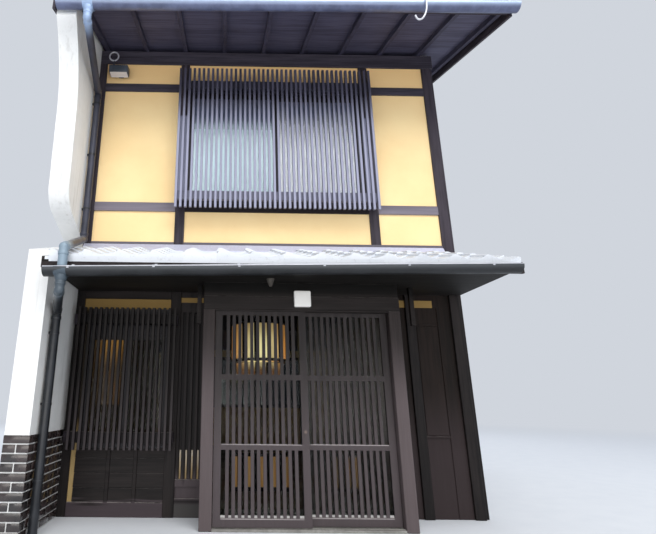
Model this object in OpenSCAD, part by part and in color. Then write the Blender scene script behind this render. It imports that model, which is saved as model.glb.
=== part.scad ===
// Two storey timber townhouse for a narrow street plot. Millimetres, +Z up, the street side faces -Y.
// x runs along the front from the inner face of the left wing wall, y runs into the house from the
// outer face of the front posts, z runs up from the ground. The finished model is moved so that the
// middle of its plan lies on the origin.

/* [Plan] */
// Width between the left wing wall and the outer face of the right party wall
house_w = 4065; // [4000:5:4400]
// Depth between the outer faces of the front and back posts
house_d = 6000; // [5000:50:8000]
// Thickness of the left party wall and its two wings
left_wall_t = 200; // [150:10:260]
// Thickness of the right party wall
right_wall_t = 120; // [100:5:200]
// Thickness of the front and back walls, and depth of their posts
post_d = 105; // [90:5:130]
// Width of a window post
post_w = 105; // [90:5:120]
// Width of the post in the left corner
corner_post_w = 85; // [75:5:95]
// Width of the post in the right corner
corner_face_w = 102; // [90:2:120]
// Distance from the face of the right corner post to the filler beside it
corner_step = 38; // [20:2:44]
// Distance that the plaster lies behind the face of the posts
plaster_recess = 20; // [10:2:40]
// Thickness of a plaster panel
plaster_t = 60; // [40:5:70]

/* [Left wing wall] */
// Distance from the front wall to the narrow part of the upper wing
wing_out = 600; // [560:5:640]
// Further reach of the upper wing where its flare begins
wing_lean = 28; // [10:2:60]
// Height at which the flare begins
flare_z = 3800; // [3700:10:3900]
// Radius of the flare
flare_r = 1764; // [1700:4:2000]
// Lowest point of the upper wing, at the wall
foot_z = 2690; // [2680:5:2720]
// Radius of the rounded foot
foot_r = 250; // [200:5:260]
// Height from the lowest point to the middle of the rounded foot
foot_lift = 390; // [360:5:420]
// Gap between the wing and the eave board
wing_eave_gap = 35; // [20:5:60]
// Distance from the front wall to the front edge of the lower wing
lower_wing_out = 850; // [800:10:900]
// Height of the lower wing above the bed of the lower roof
wing_coping = 50; // [40:5:90]

/* [Storey heights] */
// Top of the ground floor slab above the ground
ground_floor_t = 60; // [40:5:120]
// Top of the upper floor boards above the ground
upper_floor_z = 2760; // [2740:5:2900]
// Thickness of the upper floor
upper_floor_t = 150; // [100:10:200]
// Underside of the wall plate under the main roof
plate_z = 4998; // [4990:2:5100]
// Height of the wall plate
plate_h = 182; // [150:2:240]

/* [Front, upper storey] */
// Left edge of the left window post
left_post_x = 985; // [900:5:1100]
// Distance from the right window post to the right corner post, between their left edges
right_bay = 775; // [700:5:850]
// Distance from the outer face of the right party wall to the left edge of the right corner post
right_corner_in = 145; // [140:1:150]
// Underside of the band beam above the lower roof
band_z = 2600; // [2560:5:2640]
// Height of the band beam
band_h = 104; // [80:2:120]
// Underside of the window sill beam
sill_z = 3065; // [3000:5:3120]
// Height of the window sill beam and of the head beam
rail_h = 104; // [80:2:120]
// Underside of the window head beam
head_z = 4611; // [4500:3:4650]

/* [Upper lattice] */
// Distance between the middles of two slats
slat_pitch = 53.2; // [50:0.1:53.2]
// Width of a lattice slat
slat_w = 27; // [20:1:32]
// Depth of a lattice slat
slat_d = 34; // [24:1:40]
// Middle of the first slat of the upper lattice
upper_slat_x = 1007; // [1000:1:1020]
// Lower ends of the slats
upper_slat_z0 = 3030; // [2980:5:3060]
// Upper ends of the slats
upper_slat_z1 = 4774; // [4700:2:4800]
// Distance from the wall to the front faces of the slats
upper_lattice_out = 220; // [180:5:260]
// Height of the two rails behind the slats
lattice_rail_h = 100; // [70:5:110]
// Depth of the two rails behind the slats
lattice_rail_d = 45; // [30:1:60]
// Underside of the lower rail
upper_rail_z0 = 3132; // [3120:2:3180]
// Underside of the upper rail
upper_rail_z1 = 4528; // [4480:2:4560]
// Width of a bracket that holds the lattice off the window posts
bracket_w = 60; // [40:2:80]

/* [Windows] */
// Width of a sash bar and of the window frames
sash_w = 45; // [35:1:60]
// Depth of one sash
sash_d = 30; // [24:1:36]
// Thickness of a pane of glass
glass_t = 5; // [3:1:8]
// Distance from the face of the posts to the front sash
window_recess = 30; // [20:1:40]
// Underside of the ground storey window frame
low_window_z0 = 600; // [560:10:700]
// Top of the ground storey window frame
low_window_z1 = 1710; // [1600:10:1800]
// Underside of the ground storey window at the back
back_window_z0 = 900; // [800:10:1000]
// Top of the ground storey window at the back
back_window_z1 = 2000; // [1900:10:2050]

/* [Ground storey front] */
// Distance from the short post beside the entrance to the right corner post, between their left edges
door_post_in = 476; // [440:4:520]
// Width of the short post beside the entrance
door_post_w = 94; // [80:2:105]
// Underside of the ochre strips in the ground storey
strip_z0 = 1965; // [1940:5:1980]
// Top of the ochre strips in the ground storey
strip_z1 = 2068; // [2040:2:2090]
// Underside of the short ochre strips to the right of the entrance
side_strip_z0 = 2015; // [1990:5:2030]
// Underside of the short ochre strip to the left of the entrance
left_strip_z0 = 2040; // [2030:5:2050]
// Top of the short ochre strips beside the entrance
side_strip_z1 = 2090; // [2060:5:2110]
// Distance from the right end of the last ochre strip to the right corner post
right_strip_in = 184; // [120:4:220]
// Number of slats in the lower lattice
lower_slats = 19; // [12:1:19]
// Middle of the first slat of the lower lattice
lower_slat_x = 92; // [90:1:96]
// Lower ends of the slats of the lower lattice
lower_slat_z0 = 597; // [560:1:640]
// Upper ends of the slats of the lower lattice
lower_slat_z1 = 1945; // [1900:5:1960]
// Distance from the wall to the front faces of the lower slats
lower_lattice_out = 170; // [140:5:200]
// Distance from the ends of the lower slats to their rails
lower_rail_inset = 60; // [40:5:100]
// Height of the base rail on the ground
base_rail_h = 126; // [100:2:150]
// Left edge of the board wainscot under the lower window
wainscot_x = 131; // [120:1:150]
// Middles of the two battens on the wainscot
wainscot_battens = [449, 708];
// Width of a batten
batten_w = 36; // [24:1:50]
// Thickness of a batten
batten_t = 18; // [12:1:24]
// Distance from the face of the posts to the boards beside the entrance
board_recess = 30; // [20:2:40]
// Number of light gaps in the slatted side light
side_light_gaps = 4; // [3:1:4]
// Underside of the slats of the side light
side_light_z = 325; // [300:5:360]
// Depth of the side light
side_light_d = 50; // [45:1:60]
// Height of the rail over the side light
side_head_h = 105; // [60:5:120]
// Height of the ledge under the side light
ledge_h = 61; // [50:1:80]
// Distance that the ledge and the base stand out from the side light
ledge_out = 20; // [10:2:24]
// Height of the base under the side light
side_base_h = 161; // [120:1:200]

/* [Entrance] */
// Left edge of the left entrance post
entrance_x = 1346; // [1330:2:1360]
// Distance from the right entrance post to the short post beside it
entrance_side_gap = 242; // [200:2:280]
// Width of an entrance post
entrance_post_w = 110; // [90:2:120]
// Distance from the wall to the front face of the entrance posts
entrance_out = 466; // [420:2:520]
// Depth of the entrance posts and the lintel
entrance_frame_d = 120; // [110:2:140]
// Underside of the lintel
lintel_z = 1867; // [1800:1:1900]
// Height of the lintel
lintel_h = 146; // [120:2:160]
// Setback of the board over the lintel
lintel_step = 15; // [10:1:30]
// Depth of the grooves under the lintel
groove_h = 15; // [12:1:20]
// Thickness of the threshold
threshold_h = 20; // [15:1:40]
// Height of a door track above the threshold
track_h = 5; // [4:1:8]
// Width of a door track
track_w = 6; // [4:1:8]
// Depth of a sliding door
door_d = 32; // [28:1:36]
// Distance between the two door planes
door_plane_gap = 16; // [14:1:20]
// Clearance round a sliding door
door_gap = 5; // [5:0.5:8]
// Width of a door stile
stile_w = 65; // [50:1:75]
// Height of the bottom rail of a door
bottom_rail_h = 72; // [60:1:90]
// Height of a middle rail and of the top rail
mid_rail_h = 48; // [36:1:60]
// Undersides of the two middle rails above the ground
mid_rails = [639, 1236];
// Number of slats in one door
door_slats = 12; // [8:1:12]
// Width of a door slat
door_slat_w = 30; // [20:1:32]
// Depth of a door slat
door_slat_d = 14; // [10:1:18]
// Setback of the door slats
slat_step = 2; // [1:0.5:4]
// Thickness of the boards in the entrance sides
side_board_t = 30; // [20:1:40]
// Radius of a door wheel
wheel_r = 16; // [12:1:20]
// Width of a door wheel
wheel_w = 10; // [6:1:12]
// Radius of a wheel axle
axle_r = 4; // [3:0.5:6]
// Length of the pocket round a wheel
pocket_l = 60; // [50:2:70]
// Height of the keyhole plate above the ground
pull_z = 793; // [740:1:850]
// Radius of the keyhole plate
pull_r = 14; // [10:1:18]
// Thickness of the keyhole plate
pull_t = 4; // [2:0.5:5]

/* [Lower roof] */
// Distance from the wall to the edge of the lower eave
lower_eave = 1080; // [1000:10:1200]
// Height of the flat boarding under the lower roof
lower_soffit_z = 2150; // [2120:5:2170]
// Thickness of the boarding under the lower roof
soffit_t = 18; // [12:1:24]
// Height of the roof bed at the eave
lower_bed_z = 2196; // [2190:2:2210]
// Thickness of the roof bed, of boards and rafters together
lower_bed_t = 60; // [40:2:80]
// Rise of the lower roof for each unit of its run
lower_slope = 0.36; // [0.3:0.01:0.38]
// Left end of the lower roof
lower_roof_x0 = 15; // [10:1:30]
// Distance from the right end of the lower roof to the outer face of the right party wall
lower_roof_in = 25; // [15:1:35]
// Height of the eave board under the boarding
lower_board_drop = 50; // [40:5:70]
// Top of the flashing on the band beam
flashing_z = 2673; // [2660:1:2690]
// Reach of the flashing over the lower roof
flashing_out = 60; // [40:5:80]
// Height of the edge of the flashing above the roof bed
flashing_lift = 12; // [8:1:16]
// Thickness of the flashing at its top
flashing_t = 6; // [3:1:8]

/* [Main roof] */
// Rise of the main roof for each unit of its run
main_slope = 0.3; // [0.25:0.01:0.4]
// Distance from the front wall to the edge of the main eave
front_eave = 1000; // [900:10:1100]
// Distance from the back wall to the edge of the main eave
back_eave = 600; // [500:10:800]
// Distance from the outer face of the right party wall to the right verge
right_verge = 350; // [250:10:400]
// Depth of a rafter
rafter_h = 60; // [50:2:80]
// Width of a rafter
rafter_w = 45; // [36:1:60]
// Number of rafters on each slope inside the party walls
rafter_n = 9; // [8:1:10]
// Gap between a party wall and the rafter beside it, on the left and on the right
rafter_gaps = [50, 16];
// Distance from the right verge to the left side of the rafter outside the party wall
verge_rafter_in = 105; // [80:5:150]
// Thickness of the roof bed, of boards, clay and battens together
main_bed_t = 80; // [70:5:110]
// Width of the ridge
ridge_w = 260; // [220:10:300]
// Height of the ridge above the roof bed
ridge_h = 220; // [180:10:280]
// Radius of the round cap of the ridge
ridge_cap_r = 60; // [50:2:80]
// Height of an eave board
eave_board_h = 165; // [150:5:180]
// Height of a verge board
verge_board_h = 200; // [180:5:220]
// Thickness of a verge board and of an eave board
verge_board_t = 25; // [18:1:30]

/* [Gutters and pipes] */
// Outer radius of a half round gutter
gutter_r = 65; // [55:1:70]
// Wall of a gutter
gutter_t = 3; // [2:0.5:4]
// Gap between a gutter and the board behind it
gutter_gap = 5; // [3:1:8]
// Distance that a main gutter passes the right end of its roof
gutter_past = 18; // [10:1:30]
// Distances from the ends of the lower roof to the ends of its gutter
lower_gutter_in = [60, 80];
// Rise of the lower gutter from its outlet on the left, for each unit of its run
lower_gutter_slope = 0.02; // [0.01:0.002:0.02]
// Rise of a main gutter from its outlet on the left, for each unit of its run
main_gutter_slope = 0.012; // [0.006:0.002:0.012]
// Left end of the main gutters
main_gutter_x0 = -150; // [-180:5:-100]
// Distance from the edge of the lower roof bed down to the left end of the rim of its gutter
lower_gutter_drop = 130; // [126:1:136]
// Distance from the edge of the main roof bed down to the left end of the rim of its gutter
main_gutter_drop = 200; // [194:1:206]
// Radius of a downpipe
pipe_r = 38; // [30:1:40]
// Thickness by which an elbow socket stands out from its pipe
elbow_t = 3; // [2:0.5:4]
// Distance from a wall to the middle of the downpipe on it
pipe_stand = 52; // [50:1:60]
// Distance from the front wall to the upper downpipe
upper_pipe_out = 150; // [120:5:200]
// Distance from the front wall to the lower downpipe
lower_pipe_out = 690; // [640:5:720]
// Middle of the outlets of the main gutters
outlet_x = 160; // [130:5:180]
// Middle of the downpipe on the back wall
back_pipe_x = 42; // [40:1:45]
// Middle of the pipe at the lower gutter
spill_x = 215; // [190:5:225]
// Length of the straight pipe under an outlet
outlet_l = 110; // [90:5:140]
// Height of the offset between the outlet and the wall
offset_drop = 190; // [160:5:240]
// Height of the last bend over the edge of the lower roof
spill_lift = 60; // [55:5:90]
// Distance from the lowest point of the upper wing down to the elbow of the upper downpipe
foot_drop = 20; // [0:5:30]
// Heights of the clips on the upper storey
upper_clips = [3000, 3650, 4300];
// Heights of the clips on the ground storey
lower_clips = [400, 1000, 1600];
// Height of a clip
clip_h = 20; // [16:1:30]
// Thickness of a clip
clip_t = 3; // [2:0.5:4]
// Number of hangers on each gutter
hanger_n = 6; // [4:1:6]
// Left side of the first hanger
hanger_x = 271; // [265:1:285]
// Distance from the left side of the last hanger to the right end of the lower roof
hanger_end = 338; // [300:2:360]
// Height of the part of a hanger on the board
hanger_rise = 54; // [46:2:56]
// Width of a hanger strap
hanger_w = 22; // [16:1:30]
// Thickness of a hanger strap
hanger_t = 4; // [3:0.5:5]

/* [Fittings] */
// Left side of the porch lamp
lamp_x = 2198; // [2180:2:2220]
// Underside of the porch lamp
lamp_z = 1905; // [1880:5:1920]
// Width of the porch lamp on the lintel
lamp_w = 156; // [140:2:170]
// Height of the porch lamp
lamp_h = 153; // [140:1:160]
// Depth of the porch lamp
lamp_d = 60; // [40:2:80]
// Distances from the left entrance post to the left bar, and from the short post to the right bar
hanging_bar_in = [68, 79];
// Width and depth of a hanging bar
bar_w = 40; // [30:1:50]
// Lower end of a hanging bar
bar_z = 1772; // [1750:2:1800]
// Distance from the front wall to the hanging bars
hanging_bar_out = 280; // [240:5:320]
// Middle of the flood lamp
flood_x = 260; // [240:5:300]
// Width of the flood lamp
flood_w = 220; // [180:5:260]
// Depth of the flood lamp
flood_d = 120; // [100:5:140]
// Underside of the arm of the flood lamp
flood_z = 4800; // [4780:5:4815]
// Distance from the wall to the back of the flood lamp
flood_gap = 50; // [40:5:80]
// Width of the arm
flood_arm_w = 60; // [40:5:80]
// Height of the arm
flood_arm_h = 80; // [60:5:90]
// Length of the stem that carries the ring over the flood lamp
ring_stem = 140; // [100:5:150]
// Radius of the ring on the flood lamp
ring_r = 38; // [30:1:42]
// Radius of the bar of the ring
ring_bar_r = 8; // [6:1:9]

/* [Hidden] */
$fn = 48;
// Small distance by which a cut passes the face that it opens
cut = 1;
// Gap between a round piece and the piece that it lies against, and between like pieces in one run
round_gap = 0.3;

// Left edges of the posts and ends of the pieces whose place follows the width of the house
right_wall_x = house_w - right_wall_t;
right_corner_x = house_w - right_corner_in;
right_post_x = right_corner_x - right_bay;
door_post_x = right_corner_x - door_post_in;
right_strip_x = right_corner_x - right_strip_in;
lower_roof_x1 = house_w - lower_roof_in;

// Levels of the main roof at the outer faces of the posts, and levels of the rims of the gutters
plate_top = plate_z + plate_h;
rafter_top = plate_top + rafter_h;
bed_top = rafter_top + main_bed_t;
ridge_y = house_d / 2;
lower_gutter_z = lower_bed_z - lower_gutter_drop;
main_gutter_z = bed_top - main_slope * front_eave - main_gutter_drop;

// Moves the finished model so that the middle of its plan lies on the origin
module placed() translate([-plan_mid_x, -plan_mid_y, 0]) children();

// A box from one corner to the opposite corner
module block(a, b) translate(a) cube([for (i = [0:2]) b[i] - a[i]]);

// A flat shape drawn in y and z, given its thickness along x
module along_x(x0, x1) translate([x0, 0, 0]) rotate([90, 0, 90]) linear_extrude(x1 - x0) children();

// Height that the main roof gains between the outer face of the posts and the line at y
function roof_rise(y) = main_slope * (ridge_y - abs(ridge_y - y));

// Top of the bed of the lower roof at the line y
function lower_top(y) = lower_bed_z + (lower_eave + y) * lower_slope;

// Walls
module left_party_wall() color("gainsboro") along_x(-left_wall_t, 0) polygon([
    [0, 0], [house_d, 0], [house_d, rafter_top], [ridge_y, rafter_top + roof_rise(ridge_y)],
    [0, rafter_top]]);

module right_party_wall() color("gainsboro") along_x(right_wall_x, house_w) polygon([
    [post_d, 0], [house_d - post_d, 0], [house_d - post_d, rafter_top + roof_rise(post_d)],
    [ridge_y, rafter_top + roof_rise(ridge_y)], [post_d, rafter_top + roof_rise(post_d)]]);

// The wing flares out to carry the eave, and its foot rounds back to the wall above the lower roof
foot_mid = [foot_r - wing_out, foot_z + foot_lift];
foot_reach = norm(foot_mid - [0, foot_z]);
foot_turn = atan2(foot_lift, foot_mid[0]) + asin(foot_r / foot_reach);
foot_run = sqrt(foot_reach * foot_reach - foot_r * foot_r);
foot_tangent = [foot_run * cos(foot_turn), foot_z + foot_run * sin(foot_turn)];
wing_eave_y = verge_board_t + wing_eave_gap - front_eave;
module upper_wing_wall() color("white") along_x(-left_wall_t, 0) difference() {
    union() {
        polygon([[0, foot_z], foot_tangent, [-wing_out, foot_mid[1]], [-wing_out - wing_lean, flare_z],
            [wing_eave_y, flare_z], [wing_eave_y, rafter_top + roof_rise(wing_eave_y)], [0, rafter_top]]);
        translate(foot_mid) circle(r = foot_r);
    }
    translate([-wing_out - wing_lean - flare_r, flare_z]) circle(r = flare_r);
}

module lower_wing_wall() color("white") along_x(-left_wall_t, 0) polygon([
    [0, 0], [0, lower_top(0) + wing_coping], [-lower_wing_out, lower_top(-lower_wing_out) + wing_coping],
    [-lower_wing_out, 0]]);

// Floors
entrance_front_y = -entrance_out;
entrance_back_y = entrance_front_y + entrance_frame_d;
door_clear_x = entrance_x + entrance_post_w;
entrance_right_x = door_post_x - entrance_side_gap - entrance_post_w;
entrance_clear = entrance_right_x - door_clear_x;
side_board_x = entrance_right_x + entrance_post_w - side_board_t;
module ground_floor() color("dimgray") {
    block([0, post_d, 0], [right_wall_x, house_d - post_d, ground_floor_t]);
    block([entrance_x + side_board_t, entrance_back_y, 0], [side_board_x, post_d - round_gap, threshold_h]);
}

module upper_floor() color("sienna") block([0, post_d, upper_floor_z - upper_floor_t],
    [right_wall_x, house_d - post_d, upper_floor_z]);

// Full height posts of the front and back walls, and the short posts beside the entrance
module posts() color([0.16, 0.13, 0.13])
    for (y = [0, house_d - post_d]) {
        block([0, y, 0], [corner_post_w, y + post_d, plate_z]);
        block([left_post_x, y, 0], [left_post_x + post_w, y + post_d, plate_z]);
        block([right_corner_x, y, 0], [right_corner_x + corner_face_w, y + post_d, plate_z]);
        block([right_corner_x + corner_face_w, y + corner_step, 0],
            [house_w, y + post_d - corner_step, plate_z]);
        block([right_post_x, y, band_z + band_h], [right_post_x + post_w, y + post_d, plate_z]);
        block([door_post_x, y, 0], [door_post_x + door_post_w, y + post_d, lower_soffit_z]);
    }

// The bays between the upper posts, as pairs of edges along the front
upper_bays = [[corner_post_w, left_post_x], [left_post_x + post_w, right_post_x],
    [right_post_x + post_w, right_corner_x]];

module beam(x0, x1, y, z0, z1) block([x0, y, z0], [x1, y + post_d, z1]);

// Wall plate, its top cut to the slope of the rafters
module wall_plate() along_x(0, house_w) polygon([[0, plate_z], [post_d, plate_z],
    [post_d, plate_top + roof_rise(post_d)], [0, plate_top]]);

// Beam under the ridge, its top cut to the two slopes
module ridge_beam() along_x(0, right_wall_x) polygon([
    [ridge_y - post_d / 2, plate_top + roof_rise(ridge_y) - plate_h],
    [ridge_y + post_d / 2, plate_top + roof_rise(ridge_y) - plate_h],
    [ridge_y + post_d / 2, plate_top + roof_rise(ridge_y + post_d / 2)],
    [ridge_y, plate_top + roof_rise(ridge_y)],
    [ridge_y - post_d / 2, plate_top + roof_rise(ridge_y - post_d / 2)]]);

module beams() color([0.16, 0.13, 0.13]) {
    wall_plate();
    translate([0, house_d, 0]) mirror([0, 1, 0]) wall_plate();
    ridge_beam();
    for (y = [0, house_d - post_d]) {
        for (bay = upper_bays) {
            beam(bay[0], bay[1], y, sill_z, sill_z + rail_h);
            beam(bay[0], bay[1], y, head_z, head_z + rail_h);
        }
        beam(corner_post_w, left_post_x, y, strip_z1, band_z + band_h);
        beam(left_post_x + post_w, right_corner_x, y, lower_soffit_z, band_z + band_h);
    }
    back_y = house_d - post_d;
    beam(corner_post_w, left_post_x, back_y, 0, base_rail_h);
    beam(left_post_x + post_w, door_post_x, back_y, 0, base_rail_h);
    beam(door_post_x + door_post_w, right_corner_x, back_y, 0, base_rail_h);
}

module plaster(x0, x1, y, z0, z1) block([x0, y, z0], [x1, y + plaster_t, z1]);

side_light_x0 = left_post_x + post_w;
module plaster_panels() color([0.95, 0.8, 0.5]) {
    back_y = house_d - plaster_t - plaster_recess;
    for (y = [plaster_recess, back_y]) {
        for (bay = upper_bays) {
            plaster(bay[0], bay[1], y, head_z + rail_h, plate_z);
            plaster(bay[0], bay[1], y, band_z + band_h, sill_z);
        }
        plaster(corner_post_w, left_post_x, y, sill_z + rail_h, head_z);
        plaster(right_post_x + post_w, right_corner_x, y, sill_z + rail_h, head_z);
    }
    plaster(corner_post_w, left_post_x, plaster_recess, strip_z0, strip_z1);
    plaster(corner_post_w, wainscot_x, plaster_recess, base_rail_h, strip_z0 - round_gap);
    plaster(side_light_x0, entrance_x, plaster_recess, left_strip_z0, side_strip_z1);
    plaster(side_board_x + side_board_t, door_post_x, plaster_recess, side_strip_z0, side_strip_z1);
    plaster(door_post_x + door_post_w, right_strip_x, plaster_recess, side_strip_z0, side_strip_z1);
    plaster(corner_post_w, left_post_x, back_y, base_rail_h, strip_z1);
    plaster(side_light_x0, door_post_x, back_y, base_rail_h, back_window_z0);
    plaster(side_light_x0, door_post_x, back_y, back_window_z1, lower_soffit_z);
    plaster(door_post_x + door_post_w, right_corner_x, back_y, base_rail_h, lower_soffit_z);
}

// Clear opening of the wide upper window, which the back wall repeats
upper_bay = upper_bays[1];
upper_opening = [sill_z + rail_h, head_z];
back_window_y = house_d - window_recess - 2 * sash_d;

// An outer frame with two sashes that pass each other, in a bay from x0 to x1 and z0 to z1
module sliding_window(x0, x1, z0, z1, y) {
    mid = (x0 + x1) / 2;
    depth = 2 * sash_d;
    edge = sash_w / 2;
    difference() {
        block([x0, y, z0], [x1, y + depth, z1]);
        block([x0 + edge, y - cut, z0 + edge], [x1 - edge, y + depth + cut, z1 - edge]);
    }
    for (s = [0, 1]) {
        a = s == 0 ? x0 + edge : mid - edge;
        b = s == 0 ? mid + edge : x1 - edge;
        sash_y = y + s * sash_d;
        difference() {
            block([a, sash_y, z0 + edge], [b, sash_y + sash_d, z1 - edge]);
            block([a + sash_w, sash_y - cut, z0 + edge + sash_w],
                [b - sash_w, sash_y + sash_d + cut, z1 - edge - sash_w]);
        }
    }
}

// The two panes of such a window, each in the middle of its sash
module window_panes(x0, x1, z0, z1, y) {
    mid = (x0 + x1) / 2;
    edge = sash_w / 2;
    for (s = [0, 1]) {
        a = s == 0 ? x0 + edge + sash_w : mid + edge;
        b = s == 0 ? mid - edge : x1 - edge - sash_w;
        pane_y = y + s * sash_d + (sash_d - glass_t) / 2;
        block([a, pane_y, z0 + edge + sash_w], [b, pane_y + glass_t, z1 - edge - sash_w]);
    }
}

module upper_window() color([0.1, 0.1, 0.12])
    sliding_window(upper_bay[0], upper_bay[1], upper_opening[0], upper_opening[1], window_recess);

module lower_window() color([0.1, 0.1, 0.12]) {
    sliding_window(wainscot_x, left_post_x, low_window_z0, low_window_z1, window_recess);
    block([wainscot_x, window_recess, low_window_z1],
        [left_post_x, window_recess + 2 * sash_d, strip_z0]);
}

module front_glass() color([0.7, 0.8, 0.9]) {
    window_panes(upper_bay[0], upper_bay[1], upper_opening[0], upper_opening[1], window_recess);
    window_panes(wainscot_x, left_post_x, low_window_z0, low_window_z1, window_recess);
}

module back_windows() color([0.1, 0.1, 0.12]) {
    sliding_window(upper_bay[0], upper_bay[1], upper_opening[0], upper_opening[1], back_window_y);
    sliding_window(side_light_x0, door_post_x, back_window_z0, back_window_z1, back_window_y);
}

module back_glass() color([0.7, 0.8, 0.9]) {
    window_panes(upper_bay[0], upper_bay[1], upper_opening[0], upper_opening[1], back_window_y);
    window_panes(side_light_x0, door_post_x, back_window_z0, back_window_z1, back_window_y);
}

// Slats in front of two rails
module lattice(n, x, z0, z1, out, rails) {
    rail_y = slat_d - out;
    last = x + (n - 1) * slat_pitch;
    for (i = [0:n - 1]) {
        mid = x + i * slat_pitch;
        block([mid - slat_w / 2, -out, z0], [mid + slat_w / 2, rail_y, z1]);
    }
    for (z = rails)
        block([x - slat_w / 2, rail_y, z], [last + slat_w / 2, rail_y + lattice_rail_d, z + lattice_rail_h]);
}

upper_slats = floor((right_post_x + post_w / 2 - upper_slat_x) / slat_pitch) + 1;
upper_rails = [upper_rail_z0, upper_rail_z1];
lower_rails = [lower_slat_z0 + lower_rail_inset, lower_slat_z1 - lower_rail_inset - lattice_rail_h];

module upper_lattice() color([0.16, 0.13, 0.13])
    lattice(upper_slats, upper_slat_x, upper_slat_z0, upper_slat_z1, upper_lattice_out, upper_rails);

module lower_lattice() color([0.16, 0.13, 0.13])
    lattice(lower_slats, lower_slat_x, lower_slat_z0, lower_slat_z1, lower_lattice_out, lower_rails);

// Blocks that hold the rails of the lattices off the posts
module lattice_brackets() color([0.16, 0.13, 0.13]) {
    post_mid = (post_w - bracket_w) / 2;
    for (x = [left_post_x + post_mid, right_post_x + post_mid], z = upper_rails)
        block([x, slat_d + lattice_rail_d - upper_lattice_out, z], [x + bracket_w, 0, z + lattice_rail_h]);
    for (x = [corner_post_w - bracket_w, left_post_x + post_mid], z = lower_rails)
        block([x, slat_d + lattice_rail_d - lower_lattice_out, z], [x + bracket_w, 0, z + lattice_rail_h]);
}

// Narrow slatted light between the window post and the entrance, over a ledge and a board panel
module side_light() color([0.16, 0.13, 0.13]) {
    back_y = board_recess + side_light_d;
    x1 = entrance_x;
    pitch = (x1 - side_light_x0) / (side_light_gaps + 0.5);
    head_z0 = left_strip_z0 - side_head_h;
    block([side_light_x0, board_recess - ledge_out, 0], [x1, back_y, side_base_h]);
    block([side_light_x0, board_recess, side_base_h], [x1, back_y, side_light_z]);
    block([side_light_x0, board_recess - ledge_out, side_light_z - ledge_h], [x1, back_y, side_light_z]);
    block([side_light_x0, board_recess, head_z0], [x1, back_y, left_strip_z0]);
    block([side_light_x0, board_recess + slat_d, side_light_z], [x1, back_y, head_z0]);
    for (i = [0:side_light_gaps])
        block([side_light_x0 + i * pitch, board_recess, side_light_z],
            [side_light_x0 + i * pitch + slat_w, board_recess + slat_d, head_z0]);
    block([side_light_x0, board_recess, side_strip_z1], [x1, back_y, lower_soffit_z]);
}

module wainscot() color([0.16, 0.13, 0.13]) {
    block([corner_post_w, 0, 0], [left_post_x, window_recess + side_board_t, base_rail_h]);
    block([wainscot_x, batten_t, base_rail_h], [left_post_x, batten_t + side_board_t, low_window_z0]);
    for (x = wainscot_battens)
        block([x - batten_w / 2, 0, base_rail_h], [x + batten_w / 2, batten_t, low_window_z0]);
}

// Board panels to the right of the entrance, below and above the ochre strips
module right_boards() color([0.16, 0.13, 0.13])
    for (z = [[0, side_strip_z0], [side_strip_z1, lower_soffit_z]]) {
        block([side_board_x + side_board_t, board_recess, z[0]],
            [door_post_x, board_recess + side_board_t, z[1]]);
        block([door_post_x + door_post_w, board_recess, z[0]],
            [right_strip_x, board_recess + side_board_t, z[1]]);
        block([right_strip_x, board_recess, 0],
            [right_corner_x, board_recess + side_board_t, lower_soffit_z]);
    }

// Entrance frame in front of the wall
door_front_y = entrance_front_y + (entrance_frame_d - 2 * door_d - door_plane_gap) / 2;
door_rear_y = door_front_y + door_d + door_plane_gap;
door_planes = [door_front_y, door_rear_y];
rail_top_z = threshold_h + track_h;
door_z0 = rail_top_z + door_gap;
groove_top_z = lintel_z + groove_h;
door_z1 = groove_top_z - door_gap;

module entrance_posts() color([0.2, 0.17, 0.17])
    for (x = [entrance_x, entrance_right_x])
        block([x, entrance_front_y, 0], [x + entrance_post_w, entrance_back_y, groove_top_z]);

module entrance_lintel() color([0.2, 0.17, 0.17]) {
    x1 = entrance_right_x + entrance_post_w;
    block([entrance_x, entrance_front_y, groove_top_z], [x1, entrance_back_y, lintel_z + lintel_h]);
    block([entrance_x, entrance_front_y + lintel_step, lintel_z + lintel_h],
        [x1, entrance_back_y, lower_soffit_z]);
}

// Three strips under the lintel, with a groove for each door between them
module door_guides() color([0.2, 0.17, 0.17]) {
    edges = [entrance_front_y, door_front_y - door_gap, door_front_y + door_d + door_gap,
        door_rear_y - door_gap, door_rear_y + door_d + door_gap, entrance_back_y];
    for (i = [0, 2, 4])
        block([door_clear_x, edges[i], lintel_z], [entrance_right_x, edges[i + 1], groove_top_z]);
}

module entrance_threshold() color([0.35, 0.33, 0.32]) {
    block([door_clear_x, entrance_front_y, 0], [entrance_right_x, entrance_back_y, threshold_h]);
    for (y = door_planes)
        block([door_clear_x, y + (door_d - track_w) / 2, threshold_h],
            [entrance_right_x, y + (door_d + track_w) / 2, rail_top_z]);
}

// Board walls that join the entrance frame to the front wall
module entrance_sides() color([0.16, 0.13, 0.13])
    for (x = [entrance_x, side_board_x])
        block([x, entrance_back_y, 0], [x + side_board_t, board_recess + side_board_t, lower_soffit_z]);

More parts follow.
